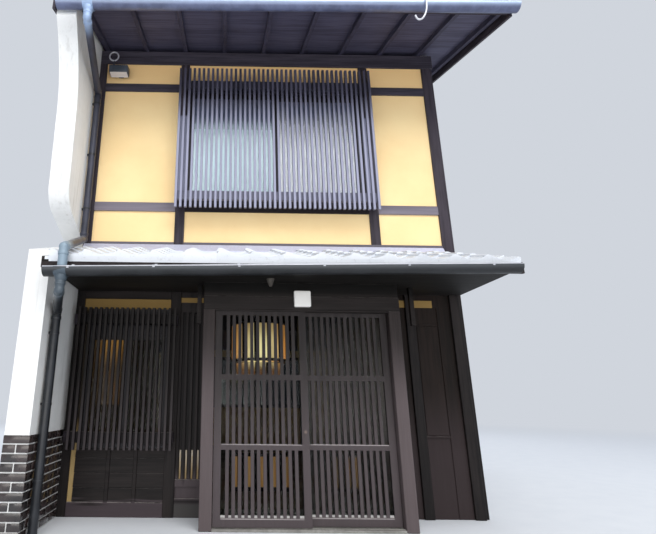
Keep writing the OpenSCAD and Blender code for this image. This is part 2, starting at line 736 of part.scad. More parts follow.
// Sliding doors, each a frame with slats and glass that rolls on two wheels
door_w = (entrance_clear - 2 * door_gap + stile_w) / 2;
door_left_x = door_clear_x + door_gap;
door_right_x = entrance_right_x - door_gap - door_w;
wheel_mid_z = rail_top_z + round_gap + wheel_r;
module sliding_door(x, y) {
    x0 = x + stile_w;
    x1 = x + door_w - stile_w;
    z0 = door_z0 + bottom_rail_h;
    z1 = door_z1 - mid_rail_h;
    mid_y = y + door_d / 2;
    wheels = [x0 + pocket_l / 2, x1 - pocket_l / 2];
    difference() {
        block([x, y, door_z0], [x + door_w, y + door_d, door_z1]);
        block([x0, y - cut, z0], [x1, y + door_d + cut, z1]);
        for (wheel = wheels)
            block([wheel - pocket_l / 2, mid_y - wheel_w / 2 - cut, door_z0 - cut],
                [wheel + pocket_l / 2, mid_y + wheel_w / 2 + cut, wheel_mid_z + pocket_l / 2]);
    }
    for (z = mid_rails)
        block([x0, y, z], [x1, y + door_d, z + mid_rail_h]);
    for (i = [1:door_slats]) {
        mid = x0 + i * (x1 - x0) / (door_slats + 1);
        block([mid - door_slat_w / 2, y + slat_step, z0],
            [mid + door_slat_w / 2, y + slat_step + door_slat_d, z1]);
    }
    for (wheel = wheels) translate([wheel, mid_y, wheel_mid_z]) rotate([90, 0, 0]) {
        cylinder(r = wheel_r, h = wheel_w, center = true);
        cylinder(r = axle_r, h = door_d - 2 * slat_step, center = true);
    }
}

module door_glass(x, y) {
    pane_y = y + slat_step + door_slat_d;
    tops = concat(mid_rails, [door_z1 - mid_rail_h]);
    feet = concat([door_z0 + bottom_rail_h], [for (z = mid_rails) z + mid_rail_h]);
    for (i = [0:len(tops) - 1])
        block([x + stile_w, pane_y, feet[i]], [x + door_w - stile_w, pane_y + glass_t, tops[i]]);
}

module door_left() color([0.25, 0.21, 0.21]) sliding_door(door_left_x, door_front_y);

module door_right() color([0.25, 0.21, 0.21]) sliding_door(door_right_x, door_rear_y);

module door_left_glass() color([0.7, 0.8, 0.9]) door_glass(door_left_x, door_front_y);

module door_right_glass() color([0.7, 0.8, 0.9]) door_glass(door_right_x, door_rear_y);

// Round keyhole plate on the meeting stile of the front door
module door_left_pull() color("silver") translate([door_left_x + door_w - stile_w / 2, door_front_y, pull_z])
    rotate([90, 0, 0]) cylinder(r = pull_r, h = pull_t);

// Lower roof: a sloping bed over flat boarding, with a board across each end and along the eave
soffit_top = lower_soffit_z + soffit_t;
bed_meets_y = (soffit_top + lower_bed_t - lower_bed_z) / lower_slope - lower_eave;
module lower_roof() color([0.75, 0.76, 0.8])
    along_x(lower_roof_x0 + verge_board_t, lower_roof_x1 - verge_board_t) polygon([
        [0, lower_top(0)], [-lower_eave, lower_bed_z], [-lower_eave, soffit_top],
        [bed_meets_y, soffit_top], [0, lower_top(0) - lower_bed_t]]);

module lower_roof_ends() color([0.16, 0.13, 0.13]) {
    for (x = [lower_roof_x0, lower_roof_x1 - verge_board_t])
        along_x(x, x + verge_board_t) polygon([
            [0, lower_top(0)], [-lower_eave, lower_bed_z], [-lower_eave, soffit_top], [0, soffit_top]]);
    block([lower_roof_x0, -lower_eave, lower_soffit_z - lower_board_drop],
        [lower_roof_x1, verge_board_t - lower_eave, lower_soffit_z]);
}

module lower_soffit() color([0.16, 0.13, 0.13])
    block([lower_roof_x0, -lower_eave, lower_soffit_z], [lower_roof_x1, 0, soffit_top]);

// Sheet metal that turns from the band beam over the top course of the lower roof
module wall_flashing() color([0.75, 0.75, 0.85]) along_x(lower_roof_x0, right_corner_x) polygon([
    [0, lower_top(0) + flashing_lift], [0, flashing_z], [-flashing_t, flashing_z],
    [-flashing_out, lower_top(-flashing_out) + 2 * flashing_lift],
    [-flashing_out, lower_top(-flashing_out) + flashing_lift]]);

// Main roof
roof_x0 = -left_wall_t;
roof_x1 = house_w + right_verge - verge_board_t;
eave_y = [verge_board_t - front_eave, house_d + back_eave - verge_board_t];
module slope_slab(x0, x1, y, y_ridge, base, t) along_x(x0, x1) polygon([
    [y, base + roof_rise(y)], [y_ridge, base + roof_rise(y_ridge)],
    [y_ridge, base + t + roof_rise(y_ridge)], [y, base + t + roof_rise(y)]]);

module main_roof_front() color([0.3, 0.32, 0.36])
    slope_slab(roof_x0, roof_x1, eave_y[0], ridge_y, rafter_top, main_bed_t);

module main_roof_back() color([0.3, 0.32, 0.36])
    slope_slab(roof_x0, roof_x1, eave_y[1], ridge_y, rafter_top, main_bed_t);

rafter_run = right_wall_x - rafter_w - rafter_gaps[1] - rafter_gaps[0];
rafters_x = concat([for (i = [0:rafter_n - 1]) rafter_gaps[0] + i * rafter_run / (rafter_n - 1)],
    [house_w + right_verge - verge_rafter_in]);
module rafters() color([0.16, 0.13, 0.13])
    for (x = rafters_x, s = [0, 1])
        slope_slab(x, x + rafter_w, eave_y[s], ridge_y + (2 * s - 1) * round_gap, plate_top, rafter_h);

module verge_boards() color([0.16, 0.13, 0.13])
    for (x = [roof_x0 - verge_board_t, roof_x1], s = [0, 1])
        slope_slab(x, x + verge_board_t, s == 0 ? -front_eave : house_d + back_eave,
            ridge_y + (2 * s - 1) * round_gap, bed_top - verge_board_h, verge_board_h);

module eave_boards() color([0.16, 0.13, 0.13])
    for (y = [-front_eave, eave_y[1]]) {
        top = bed_top + min(roof_rise(y), roof_rise(y + verge_board_t));
        block([roof_x0, y, top - eave_board_h], [roof_x1, y + verge_board_t, top]);
    }

// Stacked flat tiles under a round cap, cut to sit on the two slopes
module ridge() color([0.3, 0.32, 0.36]) {
    peak = bed_top + roof_rise(ridge_y);
    cap_z = peak + ridge_h - ridge_cap_r;
    along_x(roof_x0, roof_x1) difference() {
        union() {
            translate([ridge_y - ridge_w / 2, peak - ridge_w * main_slope / 2])
                square([ridge_w, cap_z - peak + ridge_w * main_slope / 2]);
            translate([ridge_y, cap_z]) circle(r = ridge_cap_r);
        }
        polygon([[ridge_y - ridge_w, peak - ridge_w * main_slope], [ridge_y, peak],
            [ridge_y + ridge_w, peak - ridge_w * main_slope], [ridge_y, peak - ridge_w]]);
    }
}

// Gutters
lower_gutter_y = -lower_eave - gutter_r - gutter_gap;
main_gutter_y = -front_eave - gutter_r - gutter_gap;
back_gutter_y = house_d + back_eave + gutter_r + gutter_gap;
back_gutter_z = main_gutter_z + main_slope * (front_eave - back_eave);
main_gutter_x1 = house_w + right_verge + gutter_past;
plan_mid_x = (main_gutter_x1 + roof_x0 - verge_board_t) / 2;
plan_mid_y = (back_gutter_y + lower_gutter_y) / 2;

lower_gutter_x = [lower_roof_x0 + lower_gutter_in[0], lower_roof_x1 - lower_gutter_in[1]];

// Half round channel with closed ends, which rises from its left end at the height z
module gutter(x0, x1, y, z, slope) {
    tilt = atan(slope);
    length = (x1 - x0 - gutter_r * sin(tilt)) / cos(tilt);
    translate([x0, y, z]) rotate([0, -tilt, 0]) difference() {
        along_x(0, length) difference() {
            circle(r = gutter_r);
            translate([-gutter_r - cut, 0]) square([2 * gutter_r + 2 * cut, gutter_r + cut]);
        }
        along_x(gutter_t, length - gutter_t) circle(r = gutter_r - gutter_t);
    }
}

module lower_gutter() color([0.15, 0.17, 0.2])
    gutter(lower_gutter_x[0], lower_gutter_x[1], lower_gutter_y, lower_gutter_z, lower_gutter_slope);

module main_gutters() color([0.15, 0.17, 0.2]) {
    gutter(main_gutter_x0, main_gutter_x1, main_gutter_y, main_gutter_z, main_gutter_slope);
    gutter(main_gutter_x0, main_gutter_x1, back_gutter_y, back_gutter_z, main_gutter_slope);
}

// Heights that the rims of the gutters gain up to x
function lower_rise(x) = lower_gutter_slope * (x - lower_gutter_x[0]);
function main_rise(x) = main_gutter_slope * (x - main_gutter_x0);

// A flat strap over the mouth of a gutter, bent up against the board behind it
module hanger(x, y, z, face_y) {
    side = sign(face_y - y);
    z0 = z + round_gap;
    far_y = y - side * gutter_r;
    bend_y = face_y - side * hanger_t;
    block([x, min(far_y, face_y), z0], [x + hanger_w, max(far_y, face_y), z0 + hanger_t]);
    block([x, min(bend_y, face_y), z0], [x + hanger_w, max(bend_y, face_y), z0 + hanger_rise]);
}

module gutter_hangers() color([0.3, 0.3, 0.32])
    for (i = [0:hanger_n - 1]) {
        x = hanger_x + i * (lower_roof_x1 - hanger_end - hanger_x) / (hanger_n - 1);
        x1 = x + hanger_w;
        hanger(x, lower_gutter_y, lower_gutter_z + lower_rise(x1), -lower_eave);
        hanger(x, main_gutter_y, main_gutter_z + main_rise(x1), -front_eave);
        hanger(x, back_gutter_y, back_gutter_z + main_rise(x1), house_d + back_eave);
    }

// Round pipe through a list of points, with a ball joint at each bend
module pipe(points) {
    for (i = [0:len(points) - 2]) {
        run = points[i + 1] - points[i];
        length = norm(run);
        translate(points[i]) rotate([0, acos(run[2] / length), atan2(run[1], run[0])])
            cylinder(r = pipe_r, h = length);
        if (i > 0) translate(points[i]) sphere(r = pipe_r + elbow_t);
    }
}

main_outlet_z = main_gutter_z + main_rise(outlet_x - pipe_r) - gutter_r - round_gap;
main_bend_z = main_outlet_z - outlet_l;
main_low_z = main_bend_z - offset_drop;
lower_outlet_z = lower_gutter_z + lower_rise(spill_x - pipe_r) - gutter_r - round_gap;
lower_bend_z = lower_outlet_z - outlet_l;
lower_low_z = lower_bend_z - offset_drop / 2;
upper_foot_z = foot_z - foot_drop;
spill_z = lower_top(-lower_eave) + spill_lift;
back_pipe_y = house_d + pipe_stand;
back_outlet_z = main_outlet_z + back_gutter_z - main_gutter_z;

module upper_downpipe() color([0.2, 0.22, 0.26]) pipe([
    [outlet_x, main_gutter_y, main_outlet_z], [outlet_x, main_gutter_y, main_bend_z],
    [pipe_stand, -upper_pipe_out, main_low_z], [pipe_stand, -upper_pipe_out, upper_foot_z],
    [spill_x, lower_gutter_y, spill_z], [spill_x, lower_gutter_y, lower_gutter_z - pipe_r / 2]]);

module lower_downpipe() color([0.2, 0.22, 0.26]) pipe([
    [spill_x, lower_gutter_y, lower_outlet_z], [spill_x, lower_gutter_y, lower_bend_z],
    [pipe_stand, -lower_pipe_out, lower_low_z], [pipe_stand, -lower_pipe_out, 0]]);

module back_downpipe() color([0.2, 0.22, 0.26]) pipe([
    [outlet_x, back_gutter_y, back_outlet_z], [outlet_x, back_gutter_y, back_outlet_z - outlet_l],
    [back_pipe_x, back_pipe_y, main_low_z], [back_pipe_x, back_pipe_y, 0]]);

// A band round a pipe on a lug that reaches the wall face, which lies towards -x
module clip(y, z) {
    translate([pipe_stand, y, z]) difference() {
        cylinder(r = pipe_r + clip_t, h = clip_h);
        translate([0, 0, -cut]) cylinder(r = pipe_r + round_gap, h = clip_h + 2 * cut);
    }
    block([0, y - clip_h / 2, z], [pipe_stand - pipe_r - round_gap, y + clip_h / 2, z + clip_h]);
}

module pipe_clips() color([0.2, 0.22, 0.26]) {
    for (z = upper_clips) clip(-upper_pipe_out, z);
    for (z = lower_clips) clip(-lower_pipe_out, z);
    for (z = concat(lower_clips, upper_clips))
        translate([back_pipe_x, house_d, 0]) rotate([0, 0, 90]) clip(0, z);
}

// Flood lamp on an arm, with a hanging ring on its housing
module floodlight() color([0.35, 0.35, 0.35]) {
    block([flood_x - flood_arm_w / 2, -flood_gap, flood_z],
        [flood_x + flood_arm_w / 2, plaster_recess, flood_z + flood_arm_h]);
    along_x(flood_x - flood_w / 2, flood_x + flood_w / 2) polygon([
        [-flood_gap, flood_z - flood_arm_h / 2], [-flood_gap, flood_z + flood_arm_h],
        [-flood_gap - flood_d, flood_z + flood_arm_h / 2],
        [-flood_gap - flood_d + flood_arm_h / 4, flood_z - flood_arm_h / 2]]);
    translate([flood_x - flood_w / 5, -flood_gap - flood_d / 2, flood_z + flood_arm_h / 2]) {
        cylinder(r = ring_bar_r, h = ring_stem - ring_bar_r);
        translate([0, 0, ring_stem + ring_r - ring_bar_r]) rotate([90, 0, 0])
            rotate_extrude() translate([ring_r, 0]) circle(r = ring_bar_r);
    }
}

module porch_lamp() color("white") block([lamp_x, entrance_front_y - lamp_d, lamp_z],
    [lamp_x + lamp_w, entrance_front_y, lamp_z + lamp_h]);

module hanging_bars() color([0.3, 0.28, 0.28])
    for (x = [entrance_x - hanging_bar_in[0], door_post_x - hanging_bar_in[1]])
        block([x, -hanging_bar_out - bar_w, bar_z], [x + bar_w, -hanging_bar_out, lower_soffit_z]);

placed() left_party_wall();
placed() upper_wing_wall();
placed() lower_wing_wall();
placed() right_party_wall();
placed() ground_floor();
placed() upper_floor();
placed() posts();
placed() beams();
placed() plaster_panels();
placed() upper_window();
placed() lower_window();
placed() front_glass();
placed() back_windows();
placed() back_glass();
placed() upper_lattice();
placed() lower_lattice();
placed() lattice_brackets();
placed() side_light();
placed() wainscot();
placed() right_boards();
placed() entrance_posts();
placed() entrance_lintel();
placed() entrance_threshold();
placed() entrance_sides();
placed() door_guides();
placed() door_left();
placed() door_left_glass();
placed() door_left_pull();
placed() door_right();
placed() door_right_glass();
placed() lower_roof();
placed() lower_roof_ends();
placed() lower_soffit();
placed() wall_flashing();
placed() main_roof_front();
placed() main_roof_back();
placed() ridge();
placed() rafters();
placed() verge_boards();
placed() eave_boards();
placed() lower_gutter();
placed() main_gutters();
placed() gutter_hangers();
placed() upper_downpipe();
placed() lower_downpipe();
placed() back_downpipe();
placed() pipe_clips();
placed() floodlight();
placed() porch_lamp();
placed() hanging_bars();
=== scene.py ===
import math

import bpy
from mathutils import Matrix, Vector


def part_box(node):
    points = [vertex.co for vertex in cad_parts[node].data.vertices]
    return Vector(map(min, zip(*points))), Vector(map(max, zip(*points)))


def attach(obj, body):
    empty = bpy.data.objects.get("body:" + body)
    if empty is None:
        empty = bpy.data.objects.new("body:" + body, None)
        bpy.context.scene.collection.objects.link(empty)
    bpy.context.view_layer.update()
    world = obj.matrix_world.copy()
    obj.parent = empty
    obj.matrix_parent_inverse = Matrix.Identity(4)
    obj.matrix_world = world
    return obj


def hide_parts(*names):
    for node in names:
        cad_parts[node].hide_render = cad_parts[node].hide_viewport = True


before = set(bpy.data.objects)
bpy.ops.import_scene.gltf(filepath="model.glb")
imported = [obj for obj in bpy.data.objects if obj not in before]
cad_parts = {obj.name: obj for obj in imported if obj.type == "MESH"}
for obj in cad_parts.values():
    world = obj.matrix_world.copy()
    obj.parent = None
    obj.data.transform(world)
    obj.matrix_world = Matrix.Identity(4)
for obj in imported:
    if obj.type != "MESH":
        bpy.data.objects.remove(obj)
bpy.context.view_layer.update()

scene = bpy.context.scene

# THE VIEW
# The photograph was taken from the street, about a metre up and left of the middle of the front,
# with a wide lens tilted up. Its axis lies left of the middle of the picture, hence the shift.
eye = Vector((-0.580, -7.553, 1.056))
pitch, yaw, roll = (math.radians(angle) for angle in (15.94, 0.43, 0.63))
ahead = Vector((math.sin(yaw) * math.cos(pitch), math.cos(yaw) * math.cos(pitch), math.sin(pitch)))
level = Vector((math.cos(yaw), -math.sin(yaw), 0))
upward = level.cross(ahead)
across = math.cos(roll) * level + math.sin(roll) * upward
upward = math.cos(roll) * upward - math.sin(roll) * level
lens = bpy.data.cameras.new("street_camera")
lens.sensor_width, lens.lens = 36, 25.518
lens.shift_x, lens.shift_y = 0.1549, 0.0006
camera = bpy.data.objects.new("street_camera", lens)
turned = Matrix((across, upward, -ahead)).transposed()
camera.matrix_world = Matrix.Translation(eye) @ turned.to_4x4()
scene.collection.objects.link(camera)
scene.camera = camera
scene.view_settings.view_transform = "Standard"


# THE LIGHT
# An overcast sky lights the house. The world is one even pale colour, a wide soft lamp high in
# front gives the direction, a low one the light that the street throws back, a third lights the back.
def add(tree, kind, options=None, **inputs):
    """Adds one shader node. A key i3 means the fourth input, other keys name an input."""
    node = tree.nodes.new("ShaderNode" + kind)
    for key, value in (options or {}).items():
        setattr(node, key, value)
    for key, value in inputs.items():
        socket = node.inputs[int(key[1:]) if key[1:].isdigit() else key.replace("_", " ")]
        if isinstance(value, bpy.types.NodeSocket):
            tree.links.new(value, socket)
        else:
            socket.default_value = value
    return node


def srgb(red, green, blue):
    """A colour as it looks on screen, 0 to 255, as the linear colour that the shaders take."""
    parts = [part / 255 for part in (red, green, blue)]
    return [p / 12.92 if p <= 0.04045 else ((p + 0.055) / 1.055) ** 2.4 for p in parts] + [1.0]


world = bpy.data.worlds.new("overcast")
scene.world = world
world.use_nodes = True
sky = world.node_tree
sky.nodes.clear()
pale = srgb(208, 213, 221)
backdrop = add(sky, "Background", Color=pale, Strength=1.0).outputs[0]
sky.links.new(backdrop, add(sky, "OutputWorld").inputs[0])


def soft_lamp(name, place, target, size, watts, colour):
    data = bpy.data.lights.new(name, "AREA")
    data.shape, data.size, data.size_y = "RECTANGLE", *size
    data.energy, data.color = watts, colour
    lamp = bpy.data.objects.new(name, data)
    lamp.location = place
    lamp.rotation_euler = (Vector(target) - Vector(place)).to_track_quat("-Z", "Y").to_euler()
    scene.collection.objects.link(lamp)


soft_lamp("front_sky", (1.2, -10.5, 10.5), (0, -2.5, 2.6), (9, 6), 950, (1.0, 0.985, 0.965))
soft_lamp("street_light", (-0.5, -10.5, 1.3), (0, -2.8, 4.2), (10, 2.2), 208, (1.0, 0.96, 0.91))
soft_lamp("back_sky", (-2.0, 12.0, 9.0), (0, 3, 3), (8, 6), 600, (0.97, 0.98, 1.0))


# THE GROUND
# A plain pale floor, level with the foot of the house. It is a part of the stage, and far from the
# house it fades into the colour of the sky.
def new_finish(name, **constants):
    """A material, its shader, and the Object coordinates that its pattern starts from."""
    material = bpy.data.materials.new(name)
    material.use_nodes = True
    tree = material.node_tree
    shader = tree.nodes["Principled BSDF"]
    for key, value in constants.items():
        shader.inputs[key.replace("_", " ")].default_value = value
    return material, shader, add(tree, "TexCoord").outputs["Object"]


def join_up(shader, colour, rough=None, bump=None, **sockets):
    """Leads a colour into the shader. The roughness comes from a value, 0 to 1, with the two numbers
    that it is spread between, the bumps from a height with its strength and distance."""
    sockets["Base_Color"] = colour
    if rough:
        value, low, high = rough
        sockets["Roughness"] = add(value.id_data, "MapRange", Value=value, i3=low, i4=high).outputs[0]
    if bump:
        height, strength, distance = bump
        sockets["Normal"] = add(height.id_data, "Bump", Height=height, Strength=strength,
                                Distance=distance).outputs[0]
    for key, socket in sockets.items():
        shader.id_data.links.new(socket, shader.inputs[key.replace("_", " ")])


def maths(operation, a, b=0.0):
    """A new value, in the material or group that the first one belongs to."""
    return add(a.id_data, "Math", {"operation": operation}, i0=a, i1=b).outputs[0]


def times(a, b):
    return maths("MULTIPLY", a, b)


def mix(factor, a, b):
    """Blends two colours. Three bare numbers are a colour as it looks on screen, 0 to 255."""
    a, b = (srgb(*side) if isinstance(side, tuple) else side for side in (a, b))
    return add(factor.id_data, "Mix", {"data_type": "RGBA"}, i0=factor, i6=a, i7=b).outputs[2]


def noise(vector, scale, detail=2.0, rough=0.5):
    return add(vector.id_data, "TexNoise", Vector=vector, Scale=scale, Detail=detail,
               Roughness=rough).outputs[0]


def fade(value, start, end):
    """0 at start and 1 at end, with a soft change between them."""
    return add(value.id_data, "MapRange", {"interpolation_type": "SMOOTHSTEP"}, Value=value,
               From_Min=start, From_Max=end).outputs[0]


def primitive(name, operator, scale=(1, 1, 1), **settings):
    """One of Blender's primitives, named, with its place and size in its mesh."""
    bpy.ops.object.select_all(action="DESELECT")
    operator(**settings)
    obj = bpy.context.object
    obj.scale = scale
    bpy.ops.object.transform_apply(location=True, rotation=True, scale=True)
    obj.name = obj.data.name = name
    return obj


floor = primitive("floor", bpy.ops.mesh.primitive_plane_add, size=60, location=(0, 0, -0.002))
floor_finish, shader, place = new_finish("pale_floor", Roughness=0.9)
join_up(shader, mix(noise(place, 4, 6), (226, 230, 236), (236, 239, 243)))
tree = place.id_data
far = fade(add(tree, "VectorMath", {"operation": "LENGTH"}, i0=place).outputs["Value"], 9, 24)
rays = add(tree, "LightPath").outputs
seen = maths("MAXIMUM", rays["Is Glossy Ray"], rays["Is Transmission Ray"])
seen = maths("MAXIMUM", rays["Is Camera Ray"], seen)
horizon = add(tree, "Emission", Color=pale, Strength=1.0).outputs[0]
blend = add(tree, "MixShader", Fac=times(far, seen), i1=shader.outputs[0], i2=horizon)
tree.links.new(blend.outputs[0], tree.nodes["Material Output"].inputs["Surface"])
floor.data.materials.append(floor_finish)


# THE WALLS
# The house stands in a row, between a party wall on each side. The left one runs out in front as a
# wing that carries the ends of both eaves. They are rendered in lime plaster and painted.
def effect(name, takes, gives):
    """A node group with its sockets, for a pattern that several materials use."""
    group = bpy.data.node_groups.new(name, "ShaderNodeTree")
    for label in takes:
        kind = "NodeSocketVector" if label == "Vector" else "NodeSocketFloat"
        group.interface.new_socket(label, in_out="INPUT", socket_type=kind)
    for label in gives:
        group.interface.new_socket(label, in_out="OUTPUT", socket_type="NodeSocketFloat")
    return group, group.nodes.new("NodeGroupInput").outputs, group.nodes.new("NodeGroupOutput").inputs


def placed(group, vector, **values):
    """Puts a node group into the material that the vector belongs to."""
    return add(vector.id_data, "Group", {"node_tree": group}, Vector=vector, **values).outputs


def stretched(vector, *scale):
    return add(vector.id_data, "Mapping", Vector=vector, Scale=scale).outputs[0]


def axes(vector):
    return add(vector.id_data, "SeparateXYZ", Vector=vector).outputs


streaks, given, made = effect("rain_streaks", ["Vector"], ["Mask"])
narrow = fade(noise(stretched(given["Vector"], 1, 1, 0.07), 26, 3, 0.6), 0.50, 0.74)
wide = fade(noise(given["Vector"], 1.3, 2), 0.40, 0.66)
streaks.links.new(times(narrow, wide), made["Mask"])


def wear(material, *nodes):
    """Gives a CAD node its finish, in the slots that its object already has."""
    for node in nodes:
        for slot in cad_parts[node].material_slots:
            slot.material = material


def plaster(name, light, dark, stain, splash_top, wetness):
    """Troweled plaster: faint clouds, rain streaks, and dirt splashed up from the ground."""
    material, shader, place = new_finish(name)
    clouds = maths("ADD", times(noise(place, 0.55, 5, 0.62), 0.6), times(noise(place, 6, 6, 0.7), 0.4))
    colour = mix(fade(clouds, 0.32, 0.68), light, dark)
    colour = mix(times(placed(streaks, place)["Mask"], wetness), colour, stain)
    ragged = maths("SUBTRACT", axes(place)["Z"], times(noise(place, 7, 4), 0.25))
    colour = mix(times(fade(ragged, splash_top, -0.15), 0.5), colour, stain)
    fine = noise(place, 90, 5, 0.7)
    join_up(shader, colour, rough=(fine, 0.72, 0.95), bump=(fine, 0.3, 0.003))
    return material


wear(plaster("white_plaster", (240, 240, 238), (226, 227, 226), (160, 156, 148), 0.1, 0.35),
     "upper_wing_wall", "lower_wing_wall")
wear(plaster("grey_render", (207, 205, 200), (190, 188, 183), (138, 133, 125), 0.5, 0.5),
     "left_party_wall", "right_party_wall")


# THE TILED DADO
# The foot of the lower wing is faced with glazed tiles, eleven courses laid like brick, each tile
# 210 by 60 mm and 8 mm thick, nearly black, set in a pale bed of mortar with 10 mm joints.
def block(name, low, high):
    """A box between two corners."""
    return primitive(name, bpy.ops.mesh.primitive_cube_add, [b - a for a, b in zip(low, high)],
                     size=1, location=[(a + b) / 2 for a, b in zip(low, high)])


def lone(obj):
    """Leaves obj as the only selected object, and as the active one."""
    bpy.ops.object.select_all(action="DESELECT")
    obj.select_set(True)
    bpy.context.view_layer.objects.active = obj


def modified(obj, kind, **settings):
    """Applies a modifier to obj."""
    lone(obj)
    modifier = obj.modifiers.new("change", kind)
    for key, value in settings.items():
        setattr(modifier, key, value)
    bpy.ops.object.modifier_apply(modifier=modifier.name)
    return obj


def eased(obj, width, steps=1):
    """Rounds the sharp edges."""
    return modified(obj, "BEVEL", width=width, segments=steps, limit_method="ANGLE",
                    angle_limit=math.radians(30))


def repeat(obj, count, offset):
    """A row of copies, each one offset from the last."""
    return modified(obj, "ARRAY", count=count, use_relative_offset=False, use_constant_offset=True,
                    constant_offset_displace=offset)


def joined(name, *objs):
    lone(objs[0])
    for obj in objs:
        obj.select_set(True)
    bpy.ops.object.join()
    objs[0].name = objs[0].data.name = name
    return objs[0]


def smooth(obj, angle=40):
    lone(obj)
    bpy.ops.object.shade_smooth_by_angle(angle=math.radians(angle))
    return obj


def fixed(obj, material, body="house", replaces=()):
    """A finished piece: its material, the body it rides on, and the CAD nodes it replaces, which are hidden.
    """
    obj.data.materials.clear()
    obj.data.materials.append(material)
    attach(obj, body)
    if replaces:
        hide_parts(*replaces)


courses, shortest = 11, 0.02
tile_l, tile_h, tile_t, joint = 0.210, 0.060, 0.008, 0.010
wing_low, wing_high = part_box("lower_wing_wall")


def tile_course(side, face, start, end, z, offset):
    """One course along the wall: face is the plane that the tiles stand on, along y or along x."""
    parts, at = [], start - offset
    while at < end - shortest:
        a, b = max(at, start), min(at + tile_l, end)
        if b - a > shortest:
            low = (face, a, z) if side == "inner" else (a, face - tile_t, z)
            high = (face + tile_t, b, z + tile_h) if side == "inner" else (b, face, z + tile_h)
            parts.append(block("tile", low, high))
        at += tile_l + joint
    return joined("tile_course", *parts)


dado = []
for side, face, start, end in (("inner", wing_high.x, wing_low.y, wing_high.y - 0.02),
                               ("front", wing_low.y, wing_low.x, wing_high.x + tile_t)):
    for half in (0, 1):
        course = tile_course(side, face, start, end, joint + half * (tile_h + joint),
                             half * (tile_l + joint) / 2)
        dado.append(repeat(course, (courses + 1 - half) // 2, (0, 0, 2 * (tile_h + joint))))
dado_finish, shader, place = new_finish("dado_glaze", Coat_Weight=0.6, Coat_Roughness=0.12)
colour = mix(fade(noise(place, 5, 3), 0.3, 0.7), (30, 26, 26), (56, 44, 42))
colour = mix(fade(noise(place, 60, 4), 0.62, 0.8), colour, (78, 66, 62))
join_up(shader, colour, bump=(noise(place, 45, 3), 0.25, 0.002),
        Roughness=fade(noise(place, 14, 3), 0.2, 1.1))
fixed(smooth(eased(joined("dado_tiles", *dado), 0.003, 2)), dado_finish)


# THE TIMBER FRAME
# Posts, wall plates and rails of the front and back walls, stained nearly black. The grain runs
# along each piece, and the upper faces are lighter: settled dust, and a painted highlight.
def facing(tree):
    """The direction that the surface faces, by axis."""
    return axes(add(tree, "NewGeometry").outputs["Normal"])


grain, given, made = effect("wood_grain", ["Vector"], ["Tone", "Fibre"])
bands, wide = noise(given["Vector"], 48, 4, 0.65), noise(given["Vector"], 7, 3)
grain.links.new(maths("ADD", times(bands, 0.6), times(wide, 0.4)), made["Tone"])
grain.links.new(noise(given["Vector"], 190, 3, 0.6), made["Fibre"])

# Lightens the faces that look up: settled dust, and a painted highlight on tops and top edges.
dust, given, made = effect("ledge_dust_and_highlight", ["Vector", "Amount"], ["Mask"])
lying = fade(facing(dust)["Z"], 0.5, 0.95)
patchy = fade(noise(given["Vector"], 9, 5, 0.65), 0.25, 0.6)
dust.links.new(times(times(lying, patchy), given["Amount"]), made["Mask"])


def dust_and_highlight(colour, place, amount, tint):
    return mix(placed(dust, place, Amount=amount)["Mask"], colour, tint)


def dimmed(colour, share):
    return [share * part for part in srgb(*colour)[:3]] + [1]


def front_patch(x0, x1, z0, z1, tint):
    """A stretch of the street front with a tint of its own."""
    return (x0, -3.0, z0), (x1, -2.6, z1), tint


def inside(place, low, high):
    """1 inside the box between two corners, with a soft border."""
    mask, soft, at = 1.0, 0.02, axes(place)
    for axis, start, end in zip("XYZ", low, high):
        span = times(fade(at[axis], start - soft, start + soft), fade(at[axis], end + soft, end - soft))
        mask = times(span, mask)
    return mask


def timber(name, along, dark, light, rough=0.5, dust_and_highlight_amount=0.5, bleached_and_lit=None, eave_shade=None, grimy=None,
           patches=()):
    """Stained wood whose grain runs along one axis. From one height to another it may turn paler, partly
    weathered and partly painted light, or darker on the street side, painted shade of the eave. Slats may
    be darker on their sides and just behind their face, painted shade."""
    material, shader, place = new_finish(name, Specular_IOR_Level=0.16)
    lined = stretched(place, *(0.045 if axis == along else 1.0 for axis in "xyz"))
    wood = placed(grain, lined)
    tone = fade(wood["Tone"], 0.36, 0.64)
    colour = mix(tone, dark, light)
    # Paler from one height to another: weathered wood, and partly painted light.
    if bleached_and_lit:
        sound, silvered, tint = bleached_and_lit
        ragged = maths("ADD", axes(place)["Z"], times(noise(lined, 30, 2), 0.2))
        bare = mix(fade(wood["Tone"], 0.3, 0.7), tint, dimmed(tint, 0.8))
        colour = mix(times(fade(ragged, sound + 0.1, silvered + 0.1), 0.9), colour, bare)
    # Darker on the street side from one height to another: painted shade of the eave.
    if eave_shade:
        start, end, *blacks = eave_shade
        at = axes(place)
        under_eave = times(fade(at["Z"], start, end), fade(at["Y"], 1.0, -1.0))
        colour = mix(under_eave, colour, mix(tone, *blacks))
    for low, high, tint in patches:
        colour = mix(inside(place, low, high), colour, tint)
    # Darker on the sides of the slats and just behind their face: painted shade between the slats.
    if grimy:
        amount, face_y = grimy
        side = fade(maths("ABSOLUTE", facing(place.id_data)["X"]), 0.45, 0.8)
        behind = fade(axes(place)["Y"], face_y + 0.006, face_y + 0.016)
        colour = mix(times(maths("MAXIMUM", side, behind), amount), colour, (18, 16, 17))
    join_up(shader, dust_and_highlight(colour, place, dust_and_highlight_amount, (176, 170, 166)),
            rough=(wood["Fibre"], rough - 0.1, rough + 0.15), bump=(wood["Fibre"], 0.3, 0.0015))
    return material


